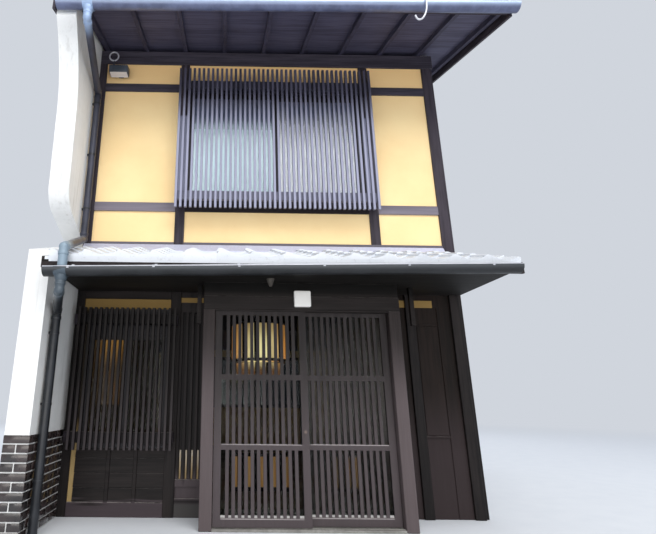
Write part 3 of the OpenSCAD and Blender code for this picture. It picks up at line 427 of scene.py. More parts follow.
def pick(obj, test, points=False):
    """Selects the faces whose middle and normal pass the test, or the points whose place does, and
    stays in edit mode."""
    lone(obj)
    bpy.ops.object.mode_set(mode="EDIT")
    bpy.ops.mesh.select_mode(type="VERT" if points else "FACE")
    bpy.ops.mesh.select_all(action="DESELECT")
    bpy.ops.object.mode_set(mode="OBJECT")
    for part in obj.data.vertices if points else obj.data.polygons:
        part.select = test(part.co) if points else test(part.center, part.normal)
    bpy.ops.object.mode_set(mode="EDIT")


def copied(node, name, keep=None):
    """A merged copy of a CAD node's mesh, or of the part of it that passes the test."""
    obj = bpy.data.objects.new(name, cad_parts[node].data.copy())
    scene.collection.objects.link(obj)
    pick(obj, lambda point: True, points=True)
    bpy.ops.mesh.remove_doubles(threshold=0.00001)
    bpy.ops.mesh.dissolve_limited(angle_limit=math.radians(1))
    bpy.ops.object.mode_set(mode="OBJECT")
    if keep:
        pick(obj, lambda point: not keep(point), points=True)
        bpy.ops.mesh.delete(type="VERT")
        bpy.ops.object.mode_set(mode="OBJECT")
    return obj


def planed(node, material, width=0.003, body="house"):
    """Timber with its edges taken off, in the place of a CAD node."""
    fixed(eased(copied(node, node + "_planed"), width), material, body, (node,))


stain_dark, stain_light = (42, 38, 43), (66, 60, 68)
# Darker copies of the stain for the ground storey: painted shade of the lower eave.
shade_dark, shade_light = (24, 21, 21), (42, 37, 36)
# The rails turn paler from one height down, weathered silver and partly painted light.
silver_grey = (3.35, 3.0, (142, 136, 147))
shade_below = (2.55, 2.35, shade_dark, shade_light)
screen_low, screen_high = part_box("upper_lattice")
left_x, right_x = screen_low.x + 0.01, screen_high.x - 0.01
dark_x = timber("dark_timber_level", "x", stain_dark, stain_light)
# Tinted boxes on the street front: the posts paler behind the upper lattice, a painted shadow of the lattice
# on the rail below it, a darker band just over the lower roof, and painted light on the head rail behind the
# lattice.
pale_behind_screen = front_patch(screen_low.x - 0.02, screen_high.x + 0.02, 3.22, 4.28, (146, 149, 172))
lattice_shadow = front_patch(left_x, right_x, 2.95, 3.205, (38, 34, 37))
over_roof = front_patch(-3.0, 3.0, 2.62, 2.75, (96, 92, 100))
under_head = front_patch(left_x, right_x, 4.50, 4.83, (70, 68, 80))
planed("posts", timber("post_timber", "z", stain_dark, stain_light, eave_shade=shade_below, patches=[pale_behind_screen]))
planed("beams", timber("rail_timber", "x", (50, 47, 55), (74, 70, 81), bleached_and_lit=silver_grey,
                       eave_shade=shade_below, patches=[lattice_shadow, over_roof, under_head]))
wear(dark_x, "upper_floor", "lattice_brackets")


# THE EARTH PLASTER
# The panels between the timbers are ochre earth plaster, finished with a steel trowel: an even
# warm yellow with a fine sandy grain. It is painted deeper towards the eave and much darker on the
# street side of the ground storey: painted shade.
ochre, shader, place = new_finish("ochre_plaster")
at = axes(place)
z = maths("ADD", at["Z"], times(noise(place, 3, 3), 0.15))
front = fade(at["Y"], -2.4, -2.6)
colour = mix(fade(noise(place, 1.7, 4, 0.55), 0.3, 0.7), (246, 214, 158), (252, 224, 169))
# Deeper towards the top: painted shade of the eave.
colour = mix(fade(z, 4.2, 5.2), colour, (246, 204, 141))
# Darker on the street side of the ground storey, less so at its foot: painted shade of the lower eave.
colour = mix(times(fade(z, 2.6, 2.3), front), colour, (146, 118, 66))
colour = mix(times(fade(z, 0.95, 0.80), front), colour, (172, 146, 98))
# Nearly black at the left edge of the ground storey: painted shade.
shaded = times(times(fade(z, 0.80, 0.95), fade(z, 2.06, 2.0)), fade(at["X"], -1.95, -1.98))
colour = mix(times(shaded, front), colour, (44, 36, 26))
sand = noise(place, 340, 3, 0.7)
colour = mix(fade(sand, 0.62, 0.8), colour, (214, 178, 118))
height = maths("ADD", times(sand, 0.3), noise(stretched(place, 1, 1, 2.5), 9, 3))
join_up(shader, colour, rough=(sand, 0.8, 0.95), bump=(height, 0.25, 0.003))
wear(ochre, "plaster_panels")


# THE WINDOWS
# Sliding sashes in dark coated metal frames. The panes of the upper window carry a painted
# reflection, of the pale sky below and of the dark eave above; those of the ground storey are plain
# and show the dark room.
frame_metal, shader, place = new_finish("window_metal", Metallic=0.4)
speck = noise(place, 420, 2)
coat = mix(speck, (38, 36, 40), (50, 48, 52))
join_up(shader, dust_and_highlight(coat, place, 0.6, (150, 148, 148)), rough=(speck, 0.35, 0.5),
        bump=(speck, 0.1, 0.0005))
wear(frame_metal, "upper_window", "lower_window", "back_windows")


def window_glass(name, tint, index, rough=0.01):
    """Float glass with slight waves, and dust that gathers in faint patches."""
    material, shader, place = new_finish(name, IOR=index, Transmission_Weight=1.0)
    haze = fade(noise(place, 3, 5, 0.6), 0.45, 0.8)
    join_up(shader, mix(haze, tint, dimmed(tint, 0.92)), rough=(haze, rough, rough + 0.04),
            bump=(noise(place, 2.5, 1), 0.02, 0.01))
    return material


storey_line = 2.5
plain_glass = window_glass("plain_glass", (216, 222, 220), 1.2, 0.14)
lower_panes = eased(copied("front_glass", "lower_panes", lambda point: point.z < storey_line), 0.001)
fixed(lower_panes, plain_glass, replaces=("front_glass",))
wear(window_glass("smoked_glass", (20, 24, 28), 1.5), "back_glass")
wear(plain_glass, "door_right_glass")
wear(window_glass("clean_glass", (216, 222, 220), 1.1), "door_left_glass")

upper_panes = eased(copied("front_glass", "upper_panes", lambda point: point.z > storey_line), 0.001)
# The upper panes have a painted reflection in their colour: pale sky below a line, streaked on the right
# pane, and the dark eave above it.
reflection_glass, shader, place = new_finish("painted_reflection_glass", Metallic=0.3, Transmission_Weight=0.05)
sash_low, sash_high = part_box("upper_window")
sashes_meet = (sash_low.x + sash_high.x) / 2
right_pane = fade(axes(place)["X"], sashes_meet - 0.01, sashes_meet)
thin = stretched(place, 1, 1, 0.12)
uneven = times(times(noise(thin, 16, 3), right_pane), 0.45)
reflection_height = maths("SUBTRACT", maths("ADD", axes(place)["Z"], uneven), times(right_pane, 0.32))
sky_reflection = fade(reflection_height, 4.34, 4.08)
# The dark part is the painted reflection of the eave, lighter downwards.
clear = mix(fade(reflection_height, 4.70, 4.24), (98, 100, 122), (142, 152, 184))
reflected_sky = mix(right_pane, (216, 248, 255), (246, 252, 255))
reflected_sky = mix(times(noise(thin, 5, 3), 0.4), reflected_sky, (250, 252, 255))
join_up(shader, mix(sky_reflection, clear, reflected_sky), rough=(sky_reflection, 0.06, 0.3),
        bump=(noise(place, 3, 2), 0.03, 0.01))
fixed(upper_panes, reflection_glass, replaces=("front_glass",))


# THE LATTICES
# Upright slats of planed cedar, screwed from behind to two rails that stand off the posts on
# blocks. The upper one is weathered grey, paler low down, partly with painted light; the lower one
# is painted darker for the shade of the eave.
faded = timber("weathered_slats", "z", (54, 53, 66), (84, 82, 99), 0.45, 0.7,
               (4.54, 3.95, (162, 164, 187)), grimy=(0.45, screen_low.y))
shaded = timber("shaded_slats", "z", (27, 24, 23), (43, 39, 38), 0.5, 0.5,
                (1.4, 0.55, (68, 62, 64)), grimy=(0.85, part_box("lower_lattice")[0].y))
planed("upper_lattice", faded, width=0.002)
planed("lower_lattice", shaded)


# THE BOARDS BESIDE THE ENTRANCE
# Level boards behind two battens under the lower window, wide upright boards on the right, and a
# slatted light on the left over a ledge and a panel.
light_low, light_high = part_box("side_light")
# A grey ledge at the foot of the slatted light, with a painted shadow in a dark band just above it.
ledge_grey = front_patch(-3.0, 3.0, -0.1, 0.120, (68, 66, 65))
ledge_shadow = front_patch(-3.0, 3.0, 0.122, 0.150, (20, 17, 17))
# Wood of the ground storey in the darker colours of the stain: painted shade.
shaded_x = timber("shaded_timber_level", "x", shade_dark, shade_light, 0.5, 0.9,
                 (0.150, 0.118, (74, 65, 69)))
shaded_z = timber("shaded_timber_upright", "z", shade_dark, shade_light, 0.5, 0.8)
board_z = timber("board_timber", "z", (20, 15, 12), (39, 29, 25), 0.55, 0.8,
                 (1.3, 0.5, (56, 47, 48)))
light_z = timber("side_light_timber", "z", (30, 27, 27), (48, 43, 43), 0.5, 0.8,
                 (0.42, 0.30, (84, 75, 78)), grimy=(0.6, light_low.y + 0.03),
                 patches=[ledge_grey, ledge_shadow])
planed("wainscot", shaded_x)
planed("side_light", light_z)
wear(board_z, "right_boards", "entrance_sides")


def shift(obj, test, move):
    """Moves the points that pass the test."""
    pick(obj, test, points=True)
    bpy.ops.transform.translate(value=move)
    bpy.ops.object.mode_set(mode="OBJECT")


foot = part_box("wainscot")[0]
boards = []
for start, end in ((0.046, 0.346), (0.382, 0.605), (0.641, 0.900)):
    for z0, z1 in ((0.127, 0.247), (0.247, 0.378), (0.378, 0.511), (0.511, 0.600)):
        board = block("wainscot_board", (foot.x + start, foot.y + 0.007, z0 + 0.005),
                      (foot.x + end, foot.y + 0.0179, z1))
        shift(board, lambda point: point.z > z1 - 0.001 and point.y < foot.y + 0.01, (0, 0.008, 0))
        boards.append(board)
fixed(eased(joined("wainscot_boards", *boards), 0.0015), shaded_x)

face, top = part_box("right_boards")[0].y, 2.0145
strips = []
for x0, z0, x1, z1, proud in ((1.415, 0.002, 1.437, top, 0.014), (1.672, 0.002, 1.690, top, 0.010),
                              (1.447, 0.745, 1.662, 1.812, 0.009), (1.437, 0.722, 1.672, 0.738, 0.016),
                              (1.437, 1.822, 1.672, 1.836, 0.010), (1.150, 0.002, 1.166, top, 0.010)):
    strips.append(block("panel_part", (x0, face - proud, z0), (x1, face, z1)))
fixed(eased(joined("right_panel_frame", *strips), 0.0025, 2), board_z)

# The paper slips glow faintly: painted light, darker towards their foot.
paper_lit, shader, place = new_finish("lit_paper", Emission_Strength=0.12)
fibres = noise(stretched(place, 1, 1, 0.1), 220, 3)
warm = mix(fade(axes(place)["Z"], 0.36, 0.56), (136, 110, 70), (190, 180, 166))
warm = mix(fade(fibres, 0.4, 0.7), warm, (160, 140, 104))
join_up(shader, warm, rough=(fibres, 0.5, 0.7), Emission_Color=warm)
gap = (light_high.x - light_low.x) / 4.5
slips = []
for i in range(4):
    left = light_low.x + i * gap + 0.027
    slips.append(block("paper_slip", (left + 0.007, light_low.y + 0.051, 0.326),
                       (left + gap - 0.034, light_low.y + 0.0535, 0.585)))
fixed(eased(joined("side_light_paper", *slips), 0.0005), paper_lit)


# THE ENTRANCE
# A heavy frame in front of the wall, with two grooves under its lintel for the sliding doors. The
# doors are slatted frames, glazed behind, and run on small wheels on two tracks.
entrance_z = timber("entrance_timber_upright", "z", (40, 35, 34), (56, 49, 48), 0.45, 0.6,
                    (1.75, 0.95, (96, 86, 87)))
# The level timber is a darker copy of the upright one, painted shade under the eave, and near black above the
# lintel, painted shade of the recess there.
entrance_x = timber("entrance_timber_level", "x", (30, 26, 25), (44, 39, 38), 0.45, 0.5,
                    eave_shade=(2.02, 2.07, (12, 11, 10), (18, 16, 15)))
planed("entrance_posts", entrance_z, 0.005)
planed("entrance_lintel", entrance_x, 0.005)
wear(entrance_x, "door_guides", "hanging_bars")

# Light wood for painted highlights along the tops of the door rails.
painted_highlight = timber("painted_highlight", "x", (118, 111, 112), (170, 163, 163), 0.5, 0.9)
steel, shader, place = new_finish("brushed_steel", Metallic=0.7)
scratches = noise(stretched(place, 1, 1, 0.05), 900, 3)
join_up(shader, mix(scratches, (170, 168, 165), (205, 203, 200)), rough=(scratches, 0.2, 0.4))
for side, wood in (("left", "door_timber"), ("right", "rear_door_timber")):
    body = side + "_door"
    low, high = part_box("door_" + side)
    pane_low, pane_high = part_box("door_" + side + "_glass")
    leaf = timber(wood, "z", (38, 34, 34), (56, 51, 51), 0.42, 0.9, (1.55, 0.45, (82, 74, 76)),
                  grimy=(0.75, low.y))
    planed("door_" + side, leaf, 0.002, body)
    # A thin light strip along the top of each rail: a painted highlight.
    edges = []
    for z in (0.0973, 0.687):
        strip = block("rail_edge", (low.x + 0.068, low.y - 0.0012, z - 0.007),
                      (high.x - 0.068, low.y + 0.0015, z + 0.0004))
        edges.append(eased(strip, 0.001))
    fixed(joined(body + "_rail_edges", *edges), painted_highlight, body)
    bead = block(body + "_glass_bead", (pane_low.x + 0.001, pane_low.y - 0.004, 0.0975),
                 (pane_high.x - 0.001, pane_low.y - 0.0005, 0.120))
    fixed(eased(bead, 0.001), steel, body)

along_x, along_y = (0, math.pi / 2, 0), (math.pi / 2, 0, 0)


def tube(name, sides, radius, length, middle, turn=(0, 0, 0), ends="NGON"):
    """A round bar, or a pipe with no ends."""
    return primitive(name, bpy.ops.mesh.primitive_cylinder_add, vertices=sides, radius=radius,
                     depth=length, location=middle, rotation=turn, end_fill_type=ends)


def stepped(obj, test, *steps):
    """Insets the faces that pass the test, once for each border and depth."""
    pick(obj, test)
    for border, depth in steps:
        bpy.ops.mesh.inset(thickness=border, depth=depth)
    bpy.ops.object.mode_set(mode="OBJECT")
    return obj


pull_low, pull_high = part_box("door_left_pull")
plate = tube("keyhole_plate", 40, (pull_high.x - pull_low.x) / 2, pull_high.y - pull_low.y,
             (pull_low + pull_high) / 2, along_y)
stepped(plate, lambda middle, normal: normal.y < -0.9, (0.0025, 0), (0.0005, -0.0012), (0.0055, 0),
        (0.0004, -0.002))
bronze, shader, place = new_finish("old_bronze", Metallic=0.8)
rubbed = noise(place, 240, 3)
join_up(shader, mix(rubbed, (96, 84, 80), (132, 118, 112)), rough=(rubbed, 0.4, 0.6))
fixed(smooth(plate, 30), bronze, "left_door", ("door_left_pull",))

concrete, shader, place = new_finish("concrete")
gravel = fade(noise(place, 60, 6, 0.75), 0.3, 0.75)
colour = mix(gravel, (120, 118, 114), (160, 158, 152))
colour = mix(fade(noise(place, 3, 4), 0.4, 0.7), colour, (104, 100, 96))
join_up(shader, colour, rough=(gravel, 0.75, 0.95), bump=(gravel, 0.3, 0.002))
wear(concrete, "ground_floor", "entrance_threshold")

lamp_white, shader, place = new_finish("lamp_white", Emission_Strength=0.12)
clouds = noise(place, 14, 3)
join_up(shader, mix(clouds, (214, 212, 208), (226, 225, 222)), rough=(clouds, 0.35, 0.5),
        Emission_Color=mix(clouds, [0.95, 0.95, 0.92, 1], [1, 1, 0.98, 1]))
low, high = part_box("porch_lamp")
seat, inset = high.y - 0.012, 0.006
cover = eased(block("lamp_cover", low, (high.x, seat, high.z)), 0.012, 3)
back = block("lamp_back", (low.x + inset, seat, low.z + inset), (high.x - inset, high.y, high.z - inset))
fixed(smooth(joined("porch_lamp_cover", cover, eased(back, 0.002)), 50), lamp_white,
      replaces=("porch_lamp",))


# THE LIGHTS INDOORS
# A wide paper lantern hangs from the floor above behind the doors, ribbed and banded with dark
# wood. Two low slatted ones stand on the floor there, and a narrow one behind the lower window.
hall, drum_z, drum_r, rib_count = (-0.089, -1.390), 1.782, 0.36, 14
floor_z, ceiling_z = 0.0602, 2.6098
glow, shader, place = new_finish("warm_paper", Emission_Strength=1.0, Roughness=0.8)
at = axes(place)
away = maths("ABSOLUTE", maths("SUBTRACT", at["X"], hall[0] - 0.02))
tone = mix(fade(away, 0.06, 0.34), (255, 238, 176), (196, 128, 60))
tone = mix(times(fade(at["Z"], 1.70, 2.00), 0.75), tone, (128, 94, 54))
tone = mix(fade(at["Z"], 1.62, 1.40), tone, (84, 56, 28))
narrow_lamp = mix(fade(at["Z"], 1.78, 1.40), (150, 108, 54), (60, 48, 34))
tone = mix(fade(at["X"], -1.2, -1.6), tone, narrow_lamp)
low_lamp = mix(fade(at["X"], 0.05, 0.25), (124, 94, 56), (88, 69, 42))
tone = mix(fade(at["Z"], 0.7, 0.6), tone, low_lamp)
fibres = noise(stretched(place, 1, 1, 0.1), 34, 3)
tone = mix(times(fade(fibres, 0.4, 0.7), 0.4), tone, (104, 62, 24))
join_up(shader, tone, Emission_Color=tone)


def thicken(obj, thickness):
    return modified(obj, "SOLIDIFY", thickness=thickness, offset=-1)


def put(obj, place, turn=(0, 0, 0)):
    """Turns a piece made at the origin, and sets it in its place."""
    obj.location, obj.rotation_euler = place, turn
    lone(obj)
    bpy.ops.object.transform_apply(location=True, rotation=True, scale=True)
    return obj


def upright(name, x, y, half_x, half_y, z0, z1):
    """A block centred over a point of the plan."""
    return block(name, (x - half_x, y - half_y, z0), (x + half_x, y + half_y, z1))


for name, radius, height, middle in (("hall_lantern_paper", drum_r, 0.437, drum_z),
                                     ("hall_lantern_skirt", 0.300, 0.150, 1.440)):
    sheet = tube(name, 48, radius, height, (*hall, middle), ends="NOTHING")
    fixed(smooth(thicken(sheet, 0.002)), glow)
wood = []
for i in range(rib_count):
    for low, high in (((0.3605, -0.023, -0.26), (0.369, 0.023, 0.222)),
                      ((0.3005, -0.019, -0.430), (0.305, 0.019, -0.265))):
        wood.append(put(block("rib", low, high), (*hall, drum_z), (0, 0, i * math.tau / rib_count + 0.030)))
for z0, z1 in ((1.530, 1.565), (1.997, 2.020)):
    hoop = tube("hoop", 48, 0.366, z1 - z0, (*hall, (z0 + z1) / 2), ends="NOTHING")
    wood.append(thicken(hoop, 0.012))
wood.append(upright("crossbar", *hall, drum_r, 0.012, 1.998, 2.018))
wood.append(upright("stem", *hall, 0.01, 0.01, 2.018, ceiling_z - 0.0003))
wood.append(upright("rose", *hall, 0.05, 0.05, 2.585, ceiling_z))

papers = []
for low_x, high_x, slits in ((-0.455, 0.240, (-0.408, -0.239, -0.098, 0.042, 0.192)),
                             (0.700, 1.045, (0.749, 0.895, 0.992))):
    papers.append(block("low_paper", (low_x + 0.012, -1.745, 0.105), (high_x - 0.012, -1.740, 0.430)))
    edges = [low_x] + [x for slit in slits for x in (slit - 0.024, slit + 0.024)] + [high_x]
    for start, end in zip(edges[::2], edges[1::2]):
        wood.append(block("slat", (start, -1.760, 0.062), (end, -1.748, 0.470)))
    for z0, z1 in ((floor_z, 0.105), (0.430, 0.470)):
        wood.append(block("rail", (low_x, -1.7595, z0), (high_x, -1.640, z1)))
fixed(eased(joined("floor_lantern_paper", *papers), 0.001), glow)

stand = (-1.93, -1.590)
paper = upright("standing_lantern_paper", *stand, 0.122, 0.122, 0.992, 1.788)
fixed(eased(paper, 0.004, 2), glow)
for x in (-0.128, 0.128):
    for y in (-0.128, 0.128):
        wood.append(upright("leg", stand[0] + x, stand[1] + y, 0.008, 0.008, floor_z, 1.80))
for z in (0.30, 0.985, 1.79):
    wood.append(upright("shelf", *stand, 0.12, 0.12, z - 0.008, z))
fixed(eased(joined("lantern_wood", *wood), 0.001), shaded_z)


# THE LOWER ROOF
# Fourteen columns of silver-grey pressed clay tiles on a bed over boards. The course at the eave
# has an upright lip with a straight foot, and each course laps the one below it.
tile_step, tile_lap, tile_thick, tile_out = 0.235, 0.016, 0.014, 0.02
# Cross-section of a tile: share of its pitch, and height over the bed in metres
tile_wave = [(-0.07, 0.040), (-0.01, 0.046), (0.06, 0.046), (0.15, 0.038), (0.27, 0.022), (0.40, 0.009),
             (0.56, 0.003), (0.72, 0.006), (0.86, 0.018), (0.96, 0.030), (1.02, 0.033)]


def pressed_tile(name, pitch, length):
    """One tile: a strip of flat faces raised to the wave, its lower end lifted by the lap. Each point
    is set 10 m aside, clear of those that are still to be moved."""
    obj = primitive(name, bpy.ops.mesh.primitive_grid_add, x_subdivisions=len(tile_wave) - 1,
                    y_subdivisions=1, size=1)
    columns = sorted({round(vertex.co.x, 4) for vertex in obj.data.vertices})
    for x, (share, height) in zip(columns, tile_wave):
        for low in (True, False):
            shift(obj, lambda point: abs(point.x - x) < 0.001 and (point.y < 0) == low,
                  (share * pitch + 10 - x, (0.5 if low else length - 0.5), height + (tile_lap if low else 0)))
    return thicken(put(obj, (-10, 0, 0)), tile_thick)


def eave_tile(name, pitch, foot):
    """A tile with an upright lip at its lower end, whose straight foot hangs below the tile."""
    obj = pressed_tile(name, pitch, 0.26)
    pick(obj, lambda middle, normal: normal.y < -0.7)
    bpy.ops.mesh.extrude_region_move(TRANSFORM_OT_translate={"value": (0, -0.018, 0)})
    bpy.ops.object.mode_set(mode="OBJECT")
    pick(obj, lambda middle, normal: normal.z < -0.5 and middle.y < 0)
    bpy.ops.mesh.extrude_region_move(TRANSFORM_OT_translate={"value": (0, 0, -0.05)})
    bpy.ops.transform.resize(value=(1, 1, 0), center_override=(0, 0, foot))
    bpy.ops.object.mode_set(mode="OBJECT")
    for share, clear in ((-0.07, 0.0), (-0.01, 0.008), (1.02, 0.976)):
        shift(obj, lambda point: abs(point.x - share * pitch) < 0.0005 and point.y < -0.01,
              ((clear - share) * pitch, 0, 0))
    return obj


def fired_clay(name, light, dark, shine, start, size):
    """Smoked clay: each tile slightly its own grey, with specks of lichen. The tiles lie in a grid
    that begins at start, each of the given size seen from above."""
    material, shader, place = new_finish(name, Metallic=0.15)
    cell = place
    for operation, by in (("SUBTRACT", (*start, 0)), ("DIVIDE", (*size, 100)), ("FLOOR", (0, 0, 0))):
        cell = add(cell.id_data, "VectorMath", {"operation": operation}, i0=cell, i1=by).outputs[0]
    tone = add(cell.id_data, "TexWhiteNoise", Vector=cell).outputs["Value"]
    lichen = times(fade(noise(place, 38, 5, 0.7), 0.55, 0.8), 0.4)
    colour = mix(lichen, mix(tone, light, dark), (120, 122, 122))
    skin = noise(place, 70, 4, 0.6)
    join_up(shader, dust_and_highlight(colour, place, 0.3, (190, 192, 194)), rough=(skin, shine, shine + 0.2),
            bump=(skin, 0.2, 0.0015))
    return material


lower_slope, lower_pitch, lower_columns = 0.36, 0.2793, 14
lower_lean = math.atan(lower_slope)
lower_low, lower_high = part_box("lower_roof")
tiles_left = lower_low.x + 0.052
eave_z = lower_high.z - (lower_high.y - lower_low.y) * lower_slope
silver_clay = fired_clay("silver_tile", (226, 230, 236), (214, 219, 226), 0.34,
                         (tiles_left + tile_wave[0][0] * lower_pitch, lower_low.y - tile_out),
                         (lower_pitch, tile_step * math.cos(lower_lean)))
field = repeat(pressed_tile("lower_roof_tiles", lower_pitch, 0.28), 4, (0, tile_step, 0))
put(field, (0, tile_step - tile_out, 0))
for piece in (field, eave_tile("lower_eave_tiles", lower_pitch, -0.042)):
    repeat(piece, lower_columns, (lower_pitch, 0, 0))
    put(piece, (tiles_left, lower_low.y, eave_z), (lower_lean, 0, 0))
    fixed(smooth(piece, 50), silver_clay)
wear(silver_clay, "lower_roof")
wear(timber("shaded_boards", "x", (20, 19, 17), (34, 31, 29), 0.6, 0.2), "lower_soffit")
wear(timber("lower_end_boards", "y", (34, 30, 30), (52, 46, 46)), "lower_roof_ends")


def taper(name, sides, low_r, high_r, length, middle):
    """An upright round bar that widens upwards."""
    return primitive(name, bpy.ops.mesh.primitive_cone_add, vertices=sides, radius1=low_r,
                     radius2=high_r, depth=length, location=middle)


soffit_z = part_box("lower_soffit")[0].z
knob = stepped(taper("soffit_knob", 24, 0.014, 0.040, 0.070, (-0.135, -3.347, soffit_z - 0.0352)),
               lambda middle, normal: normal.z < -0.9, (0.004, 0), (0.002, -0.006))
turned_wood = timber("turned_knob", "z", (58, 54, 50), (84, 79, 73), 0.4)
fixed(smooth(eased(knob, 0.002)), turned_wood)

flashing, shader, place = new_finish("flashing_metal", Metallic=0.55)
dents = noise(stretched(place, 0.5, 1, 1), 6, 3)
dull = fade(noise(place, 16, 5, 0.6), 0.35, 0.75)
join_up(shader, mix(dull, (216, 216, 236), (196, 200, 218)), rough=(dull, 0.35, 0.55),
        bump=(dents, 0.25, 0.01))
wear(flashing, "wall_flashing")
sheet_low, sheet_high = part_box("wall_flashing")
seam = put(block("flashing_seams", (-0.013, -0.0015, -0.1015), (0.013, 0.0005, 0)),
           (sheet_low.x + 0.85, sheet_high.y - 0.0062, sheet_high.z - 0.0005), (-math.atan(54 / 86), 0, 0))
fixed(repeat(eased(seam, 0.0006), 4, (0.91, 0, 0)), flashing)


# THE MAIN ROOF
# Rafters carry boards and a bed for the dark clay tiles. They lap upwards in straight columns to
# a ridge of flat courses under round caps. Boards close the verges and the eaves.
def sawn(obj, z, **kept):
    """Cuts a piece along a level plane and keeps one side of it."""
    pick(obj, lambda point: True, points=True)
    bpy.ops.mesh.bisect(plane_co=(0, 0, z), plane_no=(0, 0, 1), **kept)
    bpy.ops.object.mode_set(mode="OBJECT")
    return obj


def half_round(name, radius, length, collar):
    """A half round cover tile along y, with a thicker collar at its lower end."""
    parts = []
    for start, end, wider in ((0, 0.035, collar), (0.03, length, 0)):
        part = tube("half_round", 16, radius + wider, end - start, (0, (start + end) / 2, 0), along_y)
        parts.append(sawn(part, -0.001, use_fill=True, clear_inner=True))
    return joined(name, *parts)


main_slope, main_columns, edge = 0.3, 16, 0.018
main_lean = math.atan(main_slope)
roof_low, roof_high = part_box("main_roof_front")
back_low, back_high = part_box("main_roof_back")
main_pitch = (roof_high.x - roof_low.x - 0.02) / main_columns
greys = (94, 99, 108), (70, 74, 82)
for side, way, start_x, eave_y, run in (
        ("front", 1, roof_low.x + edge, roof_low.y, roof_high.y - roof_low.y),
        ("back", -1, roof_high.x - edge, back_high.y, back_high.y - back_low.y)):
    clay = fired_clay("dark_tile_" + side, *greys, 0.38,
                      (start_x + way * tile_wave[0][0] * main_pitch, eave_y - way * tile_out),
                      (main_pitch, tile_step * math.cos(main_lean)))
    rows = int((run / math.cos(main_lean) - 0.12) / tile_step) - 1
    tiles = repeat(pressed_tile("main_field", main_pitch, 0.28), rows, (0, tile_step, 0))
    put(tiles, (0, tile_step, 0))
    tiles = joined("main_tiles_" + side, tiles, eave_tile("main_eave", main_pitch, -0.034))
    repeat(tiles, main_columns, (main_pitch, 0, 0))
    start = (start_x, eave_y - way * tile_out, roof_high.z - run * main_slope)
    rolls = []
    for x in (0.032, main_columns * main_pitch - 0.050):
        roll = put(half_round("verge_roll", 0.052, 0.262, 0.008), (x, -0.004, 0.058), (-0.03, 0, 0))
        rolls.append(repeat(roll, rows + 1, (0, tile_step, 0)))
    for piece in (tiles, joined("verge_rolls_" + side, *rolls)):
        if side == "back":
            put(piece, (0, 0, 0), (0, 0, math.pi))
        put(piece, start, (way * main_lean, 0, 0))
        fixed(smooth(piece, 50), clay)
wear(timber("roof_boards", "x", (66, 64, 82), (90, 88, 109), 0.55, 0.2), "main_roof_front", "main_roof_back")
wear(timber("rafter_timber", "y", (54, 52, 67), (74, 72, 90), 0.55, 0.2), "rafters")
wear(timber("verge_timber", "y", stain_dark, stain_light), "verge_boards")
wear(dark_x, "eave_boards")

ridge_low, ridge_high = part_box("ridge")
ridge_y, peak = (ridge_low.y + ridge_high.y) / 2, ridge_high.z - 0.220
flat_l, flat_count = 0.3053, 15
parts = [block("ridge_core", (ridge_low.x + 0.01, ridge_y - 0.095, peak - 0.012),
               (ridge_high.x - 0.01, ridge_y + 0.095, peak + 0.146))]
caps = repeat(half_round("ridge_caps", 0.058, flat_l, 0.005), flat_count, (0, flat_l, 0))
put(caps, (0, 0, 0), (0, 0, -math.pi / 2))
parts.append(put(caps, (ridge_low.x + 0.002, ridge_y, peak + 0.152)))
for i in range(5):
    half, z0 = 0.129 - 0.006 * i, peak - 0.012 + 0.031 * i
    flat = block("ridge_course", (0.002, -half, z0), (flat_l - 0.002, half, z0 + 0.025))
    repeat(eased(flat, 0.004), flat_count, (flat_l, 0, 0))
    parts.append(put(flat, (ridge_low.x + 0.002, ridge_y, 0)))
for x in (ridge_low.x - 0.003, ridge_high.x + 0.003):
    end = tube("ridge_end", 28, 0.122, 0.040, (x, ridge_y, peak + 0.092), along_x)
    shift(end, lambda point: point.z < peak + 0.08, (0, 0, -0.030))
    parts.append(stepped(end, lambda middle, normal: abs(normal.x) > 0.9, (0.020, 0), (0.004, -0.006),
                         (0.045, 0), (0.003, 0.008)))
ridge_clay = fired_clay("ridge_tile", *greys, 0.38, (ridge_low.x + 0.002, -5), (flat_l, 10))
fixed(smooth(joined("ridge_tiles", *parts)), ridge_clay, replaces=("ridge",))


# THE GUTTERS AND PIPES
# Half round gutters of painted sheet metal hang from straps on the eave boards, and round pipes
# with ball-shaped elbows lead down, held to the wall by bands.
def painted(name, dark, light, metal, rough, bleached_and_lit=None, lower=None):
    """Sheet metal with an old coat of paint, chalky in patches. It may be painted lighter where it faces
    the sky (Z), a painted reflection of the sky, or where it stands out in the street (Y), painted
    light, and low down that lighter colour turns to two darker ones, painted shade."""
    material, shader, place = new_finish(name, Metallic=metal)
    chalk = fade(noise(place, 5, 5, 0.65), 0.35, 0.7)
    colour = mix(chalk, dark, light)
    if bleached_and_lit:
        axis, start, end, tint = bleached_and_lit
        if lower:
            z = axes(place)["Z"]
            tint = mix(fade(z, 4.0, 3.0), tint, lower[0])
            tint = mix(fade(z, 2.10, 2.07), tint, lower[1])
        at = axes(place) if axis == "Y" else facing(place.id_data)
        colour = mix(fade(at[axis], start, end), colour, tint)
    join_up(shader, dust_and_highlight(colour, place, 0.6, (158, 160, 164)), rough=(chalk, rough, rough + 0.15),
            bump=(noise(place, 30, 3), 0.1, 0.001))
    return material


# The gutters are painted lighter on their upper faces: a painted reflection of the sky.
wear(painted("lower_gutter_paint", (28, 30, 32), (40, 42, 45), 0.2, 0.4, ("Z", -0.75, 0.15, (66, 70, 74))),
     "lower_gutter")
wear(painted("main_gutter_paint", (84, 90, 116), (106, 114, 144), 0.3, 0.3,
             ("Z", -0.85, 0.15, (200, 220, 250))), "main_gutters")
